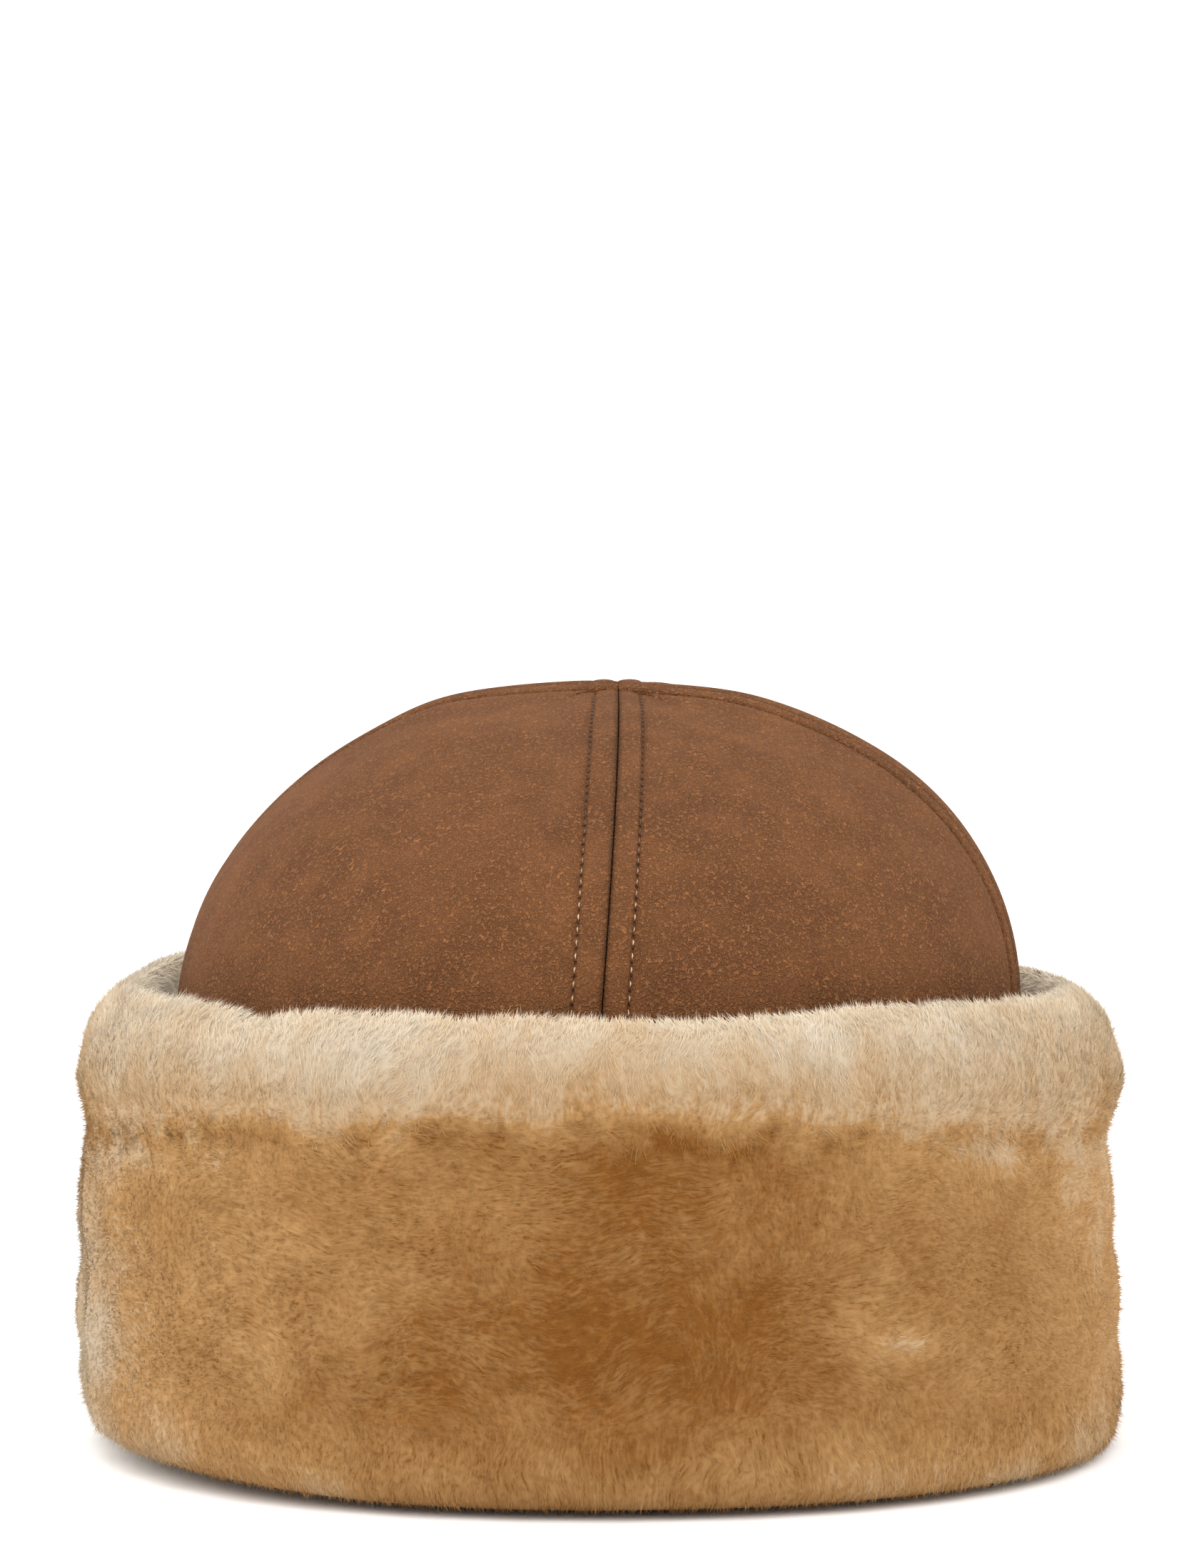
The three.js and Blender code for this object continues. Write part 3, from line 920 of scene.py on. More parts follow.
def between(tree, value, low, high, to_low=0.0, to_high=1.0):
    """A value that goes smoothly from one level to another while its input goes from low to high."""
    inputs = {"Value": value, "From Min": low, "From Max": high, "To Min": to_low, "To Max": to_high}
    return add_node(tree, "ShaderNodeMapRange", inputs, interpolation_type="SMOOTHSTEP").outputs[0]


def fading(tree, value, low, high):
    return between(tree, value, low, high, 1.0, 0.0)


def blend(tree, share, first, second, how="MIX"):
    inputs = {0: share, 6: first, 7: second}
    return add_node(tree, "ShaderNodeMix", inputs, data_type="RGBA", blend_type=how).outputs[2]


def four(colour):
    return (*colour, 1.0)


def group_tree(name, inputs, outputs):
    """An empty shader node group with these named sockets, and its two end nodes."""
    tree = bpy.data.node_groups.new(name, "ShaderNodeTree")
    for way, sockets in (("INPUT", inputs), ("OUTPUT", outputs)):
        for label, kind in sockets.items():
            tree.interface.new_socket(name=label, in_out=way, socket_type="NodeSocket" + kind)
    return tree, tree.nodes.new("NodeGroupInput"), tree.nodes.new("NodeGroupOutput")


def placed_group(tree, name, inputs):
    return add_node(tree, "ShaderNodeGroup", inputs, node_tree=bpy.data.node_groups[name])


def fresh_material(name):
    material = bpy.data.materials.new(name)
    material.use_nodes = True
    tree = material.node_tree
    return material, tree, tree.nodes["Principled BSDF"]


def object_place(tree):
    return add_node(tree, "ShaderNodeTexCoord").outputs["Object"]


def split_place(tree, place):
    return add_node(tree, "ShaderNodeSeparateXYZ", {0: place}).outputs


def stored_on_mesh(tree, name, output):
    return add_node(tree, "ShaderNodeAttribute", attribute_name=name).outputs[output]


def bump(tree, height, strength, distance):
    inputs = {"Height": height, "Strength": strength, "Distance": distance}
    return add_node(tree, "ShaderNodeBump", inputs).outputs[0]


def noise_node(tree, place, size, detail=1.0, distortion=0.0):
    """Noise with features of about this size."""
    if isinstance(size, bpy.types.NodeSocket):
        scale = arithmetic(tree, "DIVIDE", 1.0, size)
    else:
        scale = 1.0 / size
    inputs = {"Vector": place, "Scale": scale, "Detail": detail, "Roughness": 0.5, "Distortion": distortion}
    return add_node(tree, "ShaderNodeTexNoise", inputs).outputs[0]


# Finishes

def build_nap_group():
    """Short curled fibres over a fine relief, in rubbed and fluffy patches."""
    tree, start, end = group_tree(
        "Brushed nap",
        {"Position": "Vector", "Curl": "Float", "Cloud": "Float"},
        {"Height": "Float", "Clouds": "Float", "Fibres": "Float"},
    )
    place, curl, cloud = start.outputs[0], start.outputs[1], start.outputs[2]
    clouds = noise_node(tree, place, cloud, detail=2.0, distortion=0.4)
    first = noise_node(tree, place, curl, distortion=CURLING)
    offset = add_node(tree, "ShaderNodeVectorMath", {0: place, 1: NAP_OFFSET}, operation="ADD").outputs[0]
    second = noise_node(tree, offset, times(tree, curl, SECOND_CURLS), distortion=CURLING)
    grain = noise_node(tree, offset, times(tree, curl, NAP_GRAIN), distortion=0.8)
    lines = 0.0
    for curls, middle, width in ((first, 0.53, 0.08), (second, 0.46, 0.08), (first, 0.42, 0.06)):
        lines = larger(tree, lines, fading(tree, distance_from(tree, curls, middle), 0.0, width))
    up = times(tree, lines, between(tree, grain, 0.42, 0.54))
    tufts = noise_node(tree, place, times(tree, curl, NAP_TUFTS))
    tall = between(tree, tufts, 0.35, 0.62, 0.45, 1.0)
    relief = times(tree, between(tree, grain, 0.32, 0.68, -NAP_RELIEF, NAP_RELIEF), tall)
    # The tone is the height itself: raised fibres lighter and low grain darker, partly the nap's colour and
    # partly painted highlight and shade
    fibres = plus(tree, plus(tree, times(tree, up, NAP_FIBRES), NAP_GROUND), relief)
    give(tree, end, {0: fibres, 1: between(tree, clouds, 0.3, 0.7), 2: fibres})


def build_stroke_group():
    """Soft brush strokes of one size, lying along the cuff's ring or upright on it."""
    inputs = {"Place": "Vector", "Upright": "Float", "Width": "Float", "Length": "Float"}
    tree, start, end = group_tree("Brush strokes", inputs, {"Value": "Float"})
    place, upright, width, length = [start.outputs[number] for number in range(4)]
    thin, long = arithmetic(tree, "DIVIDE", 1.0, width), arithmetic(tree, "DIVIDE", 1.0, length)
    values = []
    for ring, height in ((long, thin), (thin, long)):
        scale = add_node(tree, "ShaderNodeCombineXYZ", {0: ring, 1: ring, 2: height}).outputs[0]
        drawn = add_node(tree, "ShaderNodeVectorMath", {0: place, 1: scale}, operation="MULTIPLY").outputs[0]
        values.append(noise_node(tree, drawn, 1.0, distortion=0.3))
    lying, standing = values
    give(tree, end, {0: plus(tree, lying, times(tree, minus(tree, standing, lying), upright))})


def build_fur_group():
    """Colour of fur from its shade and from how far out along the hairs a point is."""
    inputs = {"Shade": "Float", "Along": "Float"}
    inputs.update({name: "Color" for name in ("Brown", "Golden", "Cream", "Depth tint")})
    tree, start, end = group_tree("Fur colour", inputs, {"Color": "Color"})
    shade, along, brown, golden, cream, depth_tint = [start.outputs[number] for number in range(6)]
    doubled = times(tree, shade, 2.0)
    low = times(tree, shade, 2.0, clamp=True)
    high = minus(tree, doubled, 1.0, clamp=True)
    tip = blend(tree, high, blend(tree, low, brown, golden), cream)
    warm = times(tree, between(tree, high, 0.0, 0.35), fading(tree, high, 0.35, 0.85))
    tip = blend(tree, warm, tip, WARM_TINT, how="MULTIPLY")
    root = blend(tree, 1.0, tip, depth_tint, how="MULTIPLY")
    give(tree, end, {0: blend(tree, between(tree, along, 0.1, 0.9), root, tip)})


def near_middle(tree, place, away):
    """1 along the front and the back seam, and away along the side seams."""
    return between(tree, arithmetic(tree, "ABSOLUTE", split_place(tree, place)[0]), *SIDE_SEAMS, 1.0, away)


def suede_material(suede):
    """Brushed suede, with painted shade in its seams, in the crease along the topstitching and in the
    stitches' holes.
    """
    _, tree, shader = fresh_material("brushed_suede")
    place = object_place(tree)
    nap = placed_group(tree, "Brushed nap", {"Position": place, "Curl": suede.nap, "Cloud": CLOUD_SIZE})
    clouds = times(tree, nap.outputs["Clouds"], CLOUD_CONTRAST)
    patches = between(tree, noise_node(tree, place, PATCH_SIZE, detail=2.0), 0.3, 0.7, 0.0, PATCH_CONTRAST)
    tone = plus(tree, plus(tree, clouds, patches), nap.outputs["Fibres"], clamp=True)
    colour = blend(tree, tone, four(suede.dark), four(suede.light))
    seam = split_place(tree, add_node(tree, "ShaderNodeUVMap", uv_map="seam").outputs[0])
    across, along = seam[0], seam[1]
    off = distance_from(tree, across, STITCH_LINE)
    phase = distance_from(tree, arithmetic(tree, "FRACT", along), 0.5)
    hole = times(tree, fading(tree, off, *HOLE_ACROSS), fading(tree, phase, *HOLE_ALONG))
    hole = times(tree, hole, near_middle(tree, place, HOLES_ON_SIDES))
    # Painted shade: in the stitches' holes, then in the crease, in the groove and on the rib's rounded edge
    # beside it
    dark = times(tree, hole, HOLE_PAINTED_SHADE)
    for distance, low, high, darkness in (
        (off, 0.0, CREASE_WIDTH, CREASE_PAINTED_SHADE),
        (across, *GROOVE_EDGE, GROOVE_PAINTED_SHADE),
        (across, *BESIDE_EDGE, BESIDE_PAINTED_SHADE),
    ):
        dark = larger(tree, dark, between(tree, distance, low, high, darkness, 0.0))
    relief = minus(tree, nap.outputs["Height"], times(tree, hole, HOLE_DEPTH))
    # The painted shade darkens the suede towards its colour in the deepest shade
    give(tree, shader, {
        "Base Color": blend(tree, dark, colour, SUEDE_IN_PAINTED_SHADE),
        "Roughness": between(tree, tone, 0.0, 1.0, 0.88, 0.98),
        "Normal": bump(tree, relief, 1.0, NAP_BUMP),
        "Sheen Weight": 0.03,
        "Sheen Roughness": 0.5,
        "Sheen Tint": (0.85, 0.68, 0.52, 1.0),
        "Specular IOR Level": 0.08,
    })


def thread_material(suede):
    """Thread that is pale low on the front and the back seam, and as dark as the suede elsewhere."""
    _, tree, shader = fresh_material("topstitch_thread")
    place = object_place(tree)
    low = fading(tree, split_place(tree, place)[2], *THREAD_FADE)
    low = times(tree, low, near_middle(tree, place, THREAD_ON_SIDES))
    speck = noise_node(tree, place, 1.0 / THREAD_SPECKS)
    share = times(tree, low, between(tree, speck, 0.3, 0.6, 0.55, 1.0))
    give(tree, shader, {
        "Base Color": blend(tree, share, four(suede.dark), four(suede.thread)),
        "Roughness": 0.6,
    })


def fur_finish(tree, shader, fur, shade, along):
    """Soft fur of a shade, from 0 for brown to 1 for cream, at a place along the hairs. Gives its colour."""
    colour = placed_group(tree, "Fur colour", {
        "Shade": shade, "Along": along,
        "Brown": four(fur.brown), "Golden": four(fur.golden),
        "Cream": four(fur.cream), "Depth tint": four(fur.depth_tint),
    }).outputs[0]
    give(tree, shader, {
        "Base Color": colour,
        "Roughness": 0.8,
        "Specular IOR Level": 0.05,
        "Sheen Weight": 0.02,
        "Sheen Roughness": 0.45,
        "Sheen Tint": (1.0, 0.9, 0.76, 1.0),
    })
    return colour


def hair_material(fur):
    """Hairs that take their shade from across their map and their place along the hair from up it."""
    _, tree, shader = fresh_material("fur_hairs")
    place = split_place(tree, add_node(tree, "ShaderNodeUVMap", uv_map="OFBake").outputs[0])
    fur_finish(tree, shader, fur, place[0], place[1])


def undercoat_material(fur):
    """Dense fur whose shade and brush strokes are stored on the mesh, with small dark gaps between tufts,
    partly browner roots and partly painted shade, and darkened as a whole by a painted shade of the deep
    pile.
    """
    _, tree, shader = fresh_material("undercoat")
    stored = stored_on_mesh(tree, "shade", "Fac")
    place = stored_on_mesh(tree, "strokes", "Vector")
    upright = stored_on_mesh(tree, "upright", "Fac")
    strokes, spreads = [], []
    for width, length, contrast in STROKE_SIZES:
        inputs = {"Place": place, "Upright": upright, "Width": width, "Length": length}
        strokes.append(placed_group(tree, "Brush strokes", inputs).outputs[0])
        spreads.append(between(tree, strokes[-1], 0.30, 0.70, -contrast, contrast))
    fine, wide = strokes
    spread = times(tree, plus(tree, *spreads), between(tree, stored, *PALING, 1.0, 0.4))
    shade = plus(tree, stored, spread)
    # Dark gaps between tufts: partly browner roots and partly painted shade
    patches = between(tree, noise_node(tree, place, GAP_PATCHES), 0.40, 0.62, 0.25, 1.0)
    patches = times(tree, patches, between(tree, stored, 0.30, 0.65, 1.0, 0.10))
    gap = times(tree, fading(tree, fine, 0.30, 0.38), patches)
    shade = minus(tree, shade, times(tree, gap, GAP_DARKER), clamp=True)
    along = minus(tree, UNDERCOAT_ALONG, times(tree, gap, GAP_DEEPER))
    colour = fur_finish(tree, shader, fur, shade, along)
    # Painted shade of the deep pile: the undercoat is darkened beside the self-shaded hairs, more where it is
    # pale
    share = between(tree, stored, *PALING, fur.undercoat_share, PALE_SHARE)
    height = plus(tree, fine, times(tree, wide, WIDE_RELIEF))
    give(tree, shader, {
        "Base Color": blend(tree, share, (0.0, 0.0, 0.0, 1.0), colour),
        "Normal": bump(tree, height, 0.6, STROKE_BUMP),
    })


def pile_material(fur):
    """The short cream pile on the inside of the dome."""
    _, tree, shader = fresh_material("short_pile")
    inputs = {"Position": object_place(tree), "Curl": PILE_CURL, "Cloud": PILE_CLOUD}
    nap = placed_group(tree, "Brushed nap", inputs)
    shade = between(tree, nap.outputs["Clouds"], 0.0, 1.0, 0.84, 0.94)
    along = between(tree, nap.outputs["Fibres"], 0.2, 0.7, 0.5, 1.0)
    fur_finish(tree, shader, fur, shade, along)
    give(tree, shader, {"Normal": bump(tree, nap.outputs["Height"], 1.0, PILE_BUMP)})


class HAT_OT_materials(bpy.types.Operator):
    """Makes the finishes: suede, thread, fur, undercoat and short pile"""

    bl_idname = "hat.materials"
    bl_label = "Finishes"

    def execute(self, context):
        scene = context.scene
        build_nap_group()
        build_stroke_group()
        build_fur_group()
        suede_material(scene.hat_suede)
        thread_material(scene.hat_suede)
        pile_material(scene.hat_fur)
        hair_material(scene.hat_fur)
        undercoat_material(scene.hat_fur)
        return {"FINISHED"}


class HAT_OT_dome(bpy.types.Operator):
    """Makes the four suede panels of the dome"""

    bl_idname = "hat.dome"
    bl_label = "Dome panels"

    def execute(self, context):
        for node, panel in PANELS.items():
            piece = dome_panel(context, node, panel)
            alone(piece)
            bpy.ops.object.shade_smooth_by_angle(angle=math.radians(SUEDE_EDGE))
            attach(piece, "root")
            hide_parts(node)
        return {"FINISHED"}


def stitch_shape(stitches):
    """One stitch of thread along +X, its ends bent down into their holes."""
    bpy.ops.object.select_all(action="DESELECT")
    bpy.ops.mesh.primitive_cylinder_add(
        vertices=STITCH_SIDES, radius=stitches.thickness / 2.0, depth=stitches.length,
    )
    piece = bpy.context.active_object
    enter_edit_mode()
    bpy.ops.mesh.bisect(plane_co=(0.0, 0.0, 0.0), plane_no=(0.0, 0.0, 1.0))
    bpy.ops.mesh.select_all(action="SELECT")
    bpy.ops.transform.rotate(value=math.pi / 2.0, orient_axis="Y", center_override=(0.0, 0.0, 0.0))
    bpy.ops.object.mode_set(mode="OBJECT")
    points = np.array([vertex.co[:] for vertex in piece.data.vertices])
    faces = [list(face.vertices) for face in piece.data.polygons]
    bpy.data.objects.remove(piece)
    end = (np.abs(points[:, 0]) / (stitches.length / 2.0)) ** 2
    points[:, 1] *= mix(1.0, STITCH_END_WIDTH, end)
    points[:, 2] = points[:, 2] * mix(1.0, STITCH_END_HEIGHT, end) - STITCH_BEND * stitches.thickness * end
    return points, faces


def point_along(line, lengths, distance):
    """Where a line of points has come after this distance, or what another list holds there."""
    return np.array([np.interp(distance, lengths, line[:, axis]) for axis in range(3)])


def sewn_lines(dome, stitches, panel, shape, shape_faces, random):
    """Points and faces of the stitches along both seams of a panel."""
    outer, _, _ = panel_outer(dome, panel)
    near = stitch_column(stitches)
    points, faces = [], []
    for column, step in ((near, 1), (outer.shape[1] - 1 - near, -1)):
        line = outer[:, column]
        beside = outer[:, column + step] - outer[:, column - step]
        lengths = run_lengths(line)
        clear = np.linalg.norm(line[-1] - line, axis=1) > STITCH_STOP
        for number in range(1, int(lengths[clear][-1] / stitches.pitch)):
            at = number * stitches.pitch
            centre = point_along(line, lengths, at)
            if centre[2] < stitches.lowest:
                continue
            forward = unit(point_along(line, lengths, at + MM) - centre)
            up = unit(np.cross(forward, point_along(beside, lengths, at)) * step)
            up = up if up @ centre > 0.0 else -up
            turn = math.radians(random.normal(0.0, STITCH_TURN))
            forward = unit(forward * math.cos(turn) + np.cross(up, forward) * math.sin(turn))
            axes = np.stack([forward, np.cross(up, forward), up])
            size = random.uniform(*STITCH_SIZES)
            base = len(points) * len(shape)
            points.append(shape * size @ axes + centre + up * stitches.thickness * STITCH_LIFT)
            faces += [[index + base for index in face] for face in shape_faces]
    return np.concatenate(points), faces


class HAT_OT_topstitching(bpy.types.Operator):
    """Sews a line of thread along the outer edge of each rib"""

    bl_idname = "hat.topstitching"
    bl_label = "Topstitching"

    def execute(self, context):
        dome, stitches = context.scene.hat_dome, context.scene.hat_stitches
        shape, shape_faces = stitch_shape(stitches)
        random = np.random.default_rng(STITCH_SEED)
        for node, panel in PANELS.items():
            points, faces = sewn_lines(dome, stitches, panel, shape, shape_faces, random)
            piece = new_piece(node.replace("crown", "topstitch"), points, faces)
            piece.data.materials.append(bpy.data.materials["topstitch_thread"])
            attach(piece, "root")
        return {"FINISHED"}


# Form of the fur

def mesh_arrays(piece):
    """Vertex places, vertex normals and triangles of a mesh."""
    mesh = piece.data
    mesh.calc_loop_triangles()
    count = len(mesh.vertices)
    points, normals = np.zeros(count * 3), np.zeros(count * 3)
    mesh.vertices.foreach_get("co", points)
    mesh.vertices.foreach_get("normal", normals)
    triangles = np.zeros(len(mesh.loop_triangles) * 3, dtype=np.int32)
    mesh.loop_triangles.foreach_get("vertices", triangles)
    return points.reshape(-1, 3), normals.reshape(-1, 3), triangles.reshape(-1, 3)


def radial(points):
    """Outward direction in plan."""
    return unit(points * [1.0, 1.0, 0.0])


def plan_share(points):
    """How far out points lie in plan, as a share of the way to the outermost fur."""
    half = (Vector(CAD_BOX[1]) - Vector(CAD_BOX[0])) / 2.0
    power = bpy.context.scene.hat_dome.plan_roundness
    return (np.abs(points[:, 0] / half.x) ** power + np.abs(points[:, 1] / half.y) ** power) ** (1.0 / power)


def level(points, height):
    """A height that differs between the sides and the front and back, at each point."""
    return mix(height["side"], height["front"], np.sin(azimuths(points)) ** 2)


def seam_wander(points):
    """How much higher the seam is than its usual level, at the azimuth of each point."""
    ring = radial(points) * (CAD_BOX[1][0] - CAD_BOX[0][0]) / 2.0
    return SEAM_WANDER * noise_at(ring, SEAM_TURNS, seed=47.0)


def above_seam(points):
    return points[:, 2] - level(points, SEAM_HEIGHT) - seam_wander(points)


def cuff_form():
    """One soft closed form of band and roll together, with their locks but without their facets."""
    parts = []
    for node in ("cuff_band", "cuff_roll"):
        part = placed(node + "_part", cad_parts[node].data.copy())
        part.data.materials.clear()
        parts.append(part)
    alone(*parts)
    bpy.ops.object.join()
    piece = parts[0]
    enter_edit_mode()
    bpy.ops.mesh.remove_doubles(threshold=MERGE)
    bpy.ops.object.mode_set(mode="OBJECT")
    remesh = piece.modifiers.new("Remesh", "REMESH")
    remesh.mode = "VOXEL"
    remesh.voxel_size = VOXEL
    remesh.use_smooth_shade = True
    smooth = piece.modifiers.new("Smooth", "SMOOTH")
    smooth.factor = 0.5
    smooth.iterations = int(SMOOTHING / VOXEL)
    apply_modifiers(piece)
    points, _, _ = mesh_arrays(piece)
    move_points(piece, grown(points))
    return piece


def grown(points):
    """Points of the cuff's form: fuller over the seam, and up to where the tips of the roll stand."""
    height = points[:, 2] - level(points, SEAM_HEIGHT)
    degrees = np.degrees(azimuths(points))
    share = plan_share(points)
    across = np.cos(np.radians(degrees))
    side = np.where(across < 0.0, SEAM_SHARE["left"], SEAM_SHARE["right"])
    bridge = mix(SEAM_SHARE["front"], side, across ** 2)
    near = hump(height, SEAM_REACH) * smoothstep(share, *SEAM_RIM)
    widen = 1.0 + near * np.maximum(bridge - share, 0.0) / share
    swells = (swelling * hump(turned(degrees, place), spread) for place, spread, swelling in ROLL_SWELLS)
    rise = (ROLL_RISE + sum(swells)) * smoothstep(height, *ROLL_START)
    place, spread, wear = HEM_WEAR
    front = np.clip(-np.sin(np.radians(degrees)), 0.0, 1.0) ** 0.5
    worn = HEM_RISE * front + wear * hump(turned(degrees, place), spread)
    rise = rise + worn * (1.0 - np.clip(points[:, 2] / HEM_TOP, 0.0, 1.0)) ** 2
    moved = points * np.stack([widen, widen, np.ones_like(widen)], axis=1)
    moved[:, 2] += rise
    return moved


def cut_part(form, name, upper):
    """The part of a form above or below the cuff's wandering seam, closed with a flat face there."""
    piece = placed(name, form.data.copy())
    points, _, _ = mesh_arrays(piece)
    points[:, 2] = above_seam(points)
    move_points(piece, points)
    alone(piece)
    enter_edit_mode()
    bpy.ops.mesh.bisect(
        plane_co=(0.0, 0.0, 0.0), plane_no=(0.0, 0.0, 1.0),
        use_fill=True, clear_inner=upper, clear_outer=not upper,
    )
    bpy.ops.object.mode_set(mode="OBJECT")
    points, _, _ = mesh_arrays(piece)
    points[:, 2] += level(points, SEAM_HEIGHT) + seam_wander(points)
    move_points(piece, points)
    return piece


def furred(points, normals):
    """1 where the cuff carries loose fur, and 0 where it lies against the dome or deep in its seam."""
    out = np.sum(normals * radial(points), axis=1)
    hidden = (points[:, 2] > FOLD_HEIGHT) & (points[:, 2] < level(points, RIDGE_HEIGHT) - BEHIND_RIDGE)
    slot = (np.abs(normals[:, 2]) > FACES_SLOT) & (np.abs(above_seam(points)) < SLOT_REACH)
    rim = smoothstep(plan_share(points), *SEAM_RIM)
    return np.where((out < FACES_DOME) & hidden, 0.0, np.where(slot, rim, 1.0))


# Hairs

def scatter(points, normals, triangles, upper, count, random):
    """Evenly scattered places on the furred faces above or below the cuff's seam, with their normals."""
    corners = points[triangles]
    crosses = np.cross(corners[:, 1] - corners[:, 0], corners[:, 2] - corners[:, 0])
    areas = np.linalg.norm(crosses, axis=1) / 2.0
    centres, facing = corners.mean(axis=1), unit(crosses)
    areas = areas * furred(centres, facing) * ((above_seam(centres) > 0.0) == upper)
    underneath = (facing[:, 2] < FACES_FLOOR) & (centres[:, 2] < FLOOR_REACH)
    areas = areas * np.where(underneath, UNDER_HEM, 1.0)
    chosen = random.choice(len(triangles), size=count, p=areas / areas.sum())
    first, second = random.random(count), random.random(count)
    over = first + second > 1.0
    first[over], second[over] = 1.0 - first[over], 1.0 - second[over]
    weights = np.stack([1.0 - first - second, first, second], axis=1)[..., None]
    places = (points[triangles[chosen]] * weights).sum(axis=1)
    facing = unit((normals[triangles[chosen]] * weights).sum(axis=1))
    return places, facing


def nearest_tuft(places, centres, blur, random):
    """Number of the tuft that each hair belongs to, with blurred edges between the tufts."""
    tree = kdtree.KDTree(len(centres))
    for index, centre in enumerate(centres.tolist()):
        tree.insert(centre, index)
    tree.balance()
    asked = places + random.normal(0.0, blur, places.shape)
    return np.array([tree.find(place)[1] for place in asked.tolist()])


def flattened(vectors, normals):
    """The part of each vector that lies along the surface."""
    return vectors - normals * np.sum(vectors * normals, axis=1, keepdims=True)


def on_ring(azimuth, height):
    """Places on the ring on which the brush strokes are drawn."""
    return np.stack([np.cos(azimuth) * RING, np.sin(azimuth) * RING, height], axis=1)


def combed(points):
    """Azimuth and height of points once the fur's swaying brush strokes are drawn straight: lying ones
    keep their height and upright ones their azimuth. Also how upright the strokes are, from 0 to 1."""
    ring = radial(points) * RING
    height = points[:, 2] + (1.0 - plan_share(points)) * RING
    flat = np.stack([ring[:, 0], ring[:, 1], height], axis=1)
    azimuth = azimuths(points)
    for number, (size, sway) in enumerate(LYING_SWAYS):
        height = height + sway * noise_at(flat, size, seed=52.0 + number)
    for number, (size, sway) in enumerate(UPRIGHT_SWAYS):
        azimuth = azimuth + sway / RING * noise_at(flat, size, seed=62.0 + number)
    roll = smoothstep(above_seam(points), *UPRIGHT_ROLL)
    hem = smoothstep(UPRIGHT_HEM - points[:, 2], 0.0, UPRIGHT_HEM_FADE)
    patch = UPRIGHT_PATCH * smoothstep(noise_at(flat, UPRIGHT_PATCH_SIZE, seed=58.0), 0.0, 0.4)
    return azimuth, height, np.maximum(np.maximum(roll, hem), patch)


def comb(places, normals, random):
    """Lean of each tuft along the surface, as a share of its run: along its brush stroke."""
    across = unit(flattened(np.cross([0.0, 0.0, 1.0], radial(places)), normals))
    upward = unit(np.cross(normals, across))
    azimuth, height, upright = combed(places)
    turns, lifts = [], []
    for beside in (across, upward):
        other_azimuth, other_height, _ = combed(places + beside * MM)
        turn = (other_azimuth - azimuth + math.pi) % FULL_TURN - math.pi
        turns.append((turn * RING / MM)[:, None])
        lifts.append(((other_height - height) / MM)[:, None])
    lying = unit(across * lifts[1] - upward * lifts[0])
    standing = unit(upward * turns[0] - across * turns[1])
    above = above_seam(places)[:, None]
    sign = mix(-1.0, 1.0, smoothstep(above, *STANDS_UP))
    lean = mix(lying, standing * sign, upright[:, None])
    wild = flattened(random.normal(0.0, 1.0, places.shape), normals)
    return lean * LEAN + wild * mix(WILD, WILD_AT_SEAM, hump(above, WILD_REACH))


def fur_shade(places):
    """Shade of the fur, from 0 for brown over 0.5 for golden to 1 for cream."""
    above = above_seam(places)
    clouds = layered_noise(places, FUR_CLOUDS)
    # Dark line along the seam: browner clumps and painted shadow under the roll
    line = hump(above, LINE_REACH) * smoothstep(noise_at(places, LINE_SIZE, seed=44.0), -0.1, 0.3)
    up = above / (level(places, RIDGE_HEIGHT) - level(places, SEAM_HEIGHT))
    azimuth, height, _ = combed(places)
    streaks = STREAKS * noise_at(on_ring(azimuth, height * STREAK_DRAWN), STREAK_SIZE, seed=48.0)
    across = np.cos(azimuths(places))
    # Painted light on the roll's inner side, which lies in shade behind the dome
    inner = smoothstep(INNER_EDGE - plan_share(places), 0.0, 0.05) * smoothstep(up, 0.2, 0.6)
    low = ROLL_LOW + ROLL_LOW_RIGHT * np.clip(across, 0.0, 1.0) ** 2
    high = ROLL_HIGH - ROLL_HIGH_RIGHT * smoothstep(across, 0.3, 0.9)
    roll = mix(low, high, smoothstep(up, 0.0, 1.05)) + clouds * ROLL_CLOUDS + streaks + INNER_PAINTED_LIGHT * inner
    pale = smoothstep(noise_at(places, PALE_SIZE, seed=45.0), 0.12, 0.5) * PALE_PATCHES
    # Paler sides: partly the fur's own colour and partly a painted sheen where the fur is seen edge on; the
    # smaller share on the right paints that side's shade
    sides = np.abs(across) ** 1.2 * np.where(across < 0.0, LEFT_PALER, RIGHT_PALER)
    hem = smoothstep(HEM_EDGE - places[:, 2], 0.0, HEM_FADE)
    upper = UPPER_PALER * hump(np.minimum(above, 0.0), UPPER_REACH)
    band = BAND_SHADE + sides + HEM_PALER * hem + upper + clouds * BAND_CLOUDS + pale
    degrees = np.degrees(azimuths(places))
    for place, spread, middle, reach, shade in BAND_PATCHES:
        beside = turned(degrees, place) / spread
        band = band + shade * np.exp(-beside ** 2 - ((places[:, 2] - middle) / reach) ** 2)
    ragged = above + RAGGED * noise_at(places, RAGGED_SIZE, seed=50.0)
    return mix(band, roll, smoothstep(ragged, *SHADE_CHANGE)) - SEAM_CLUMPS_AND_SHADE * line


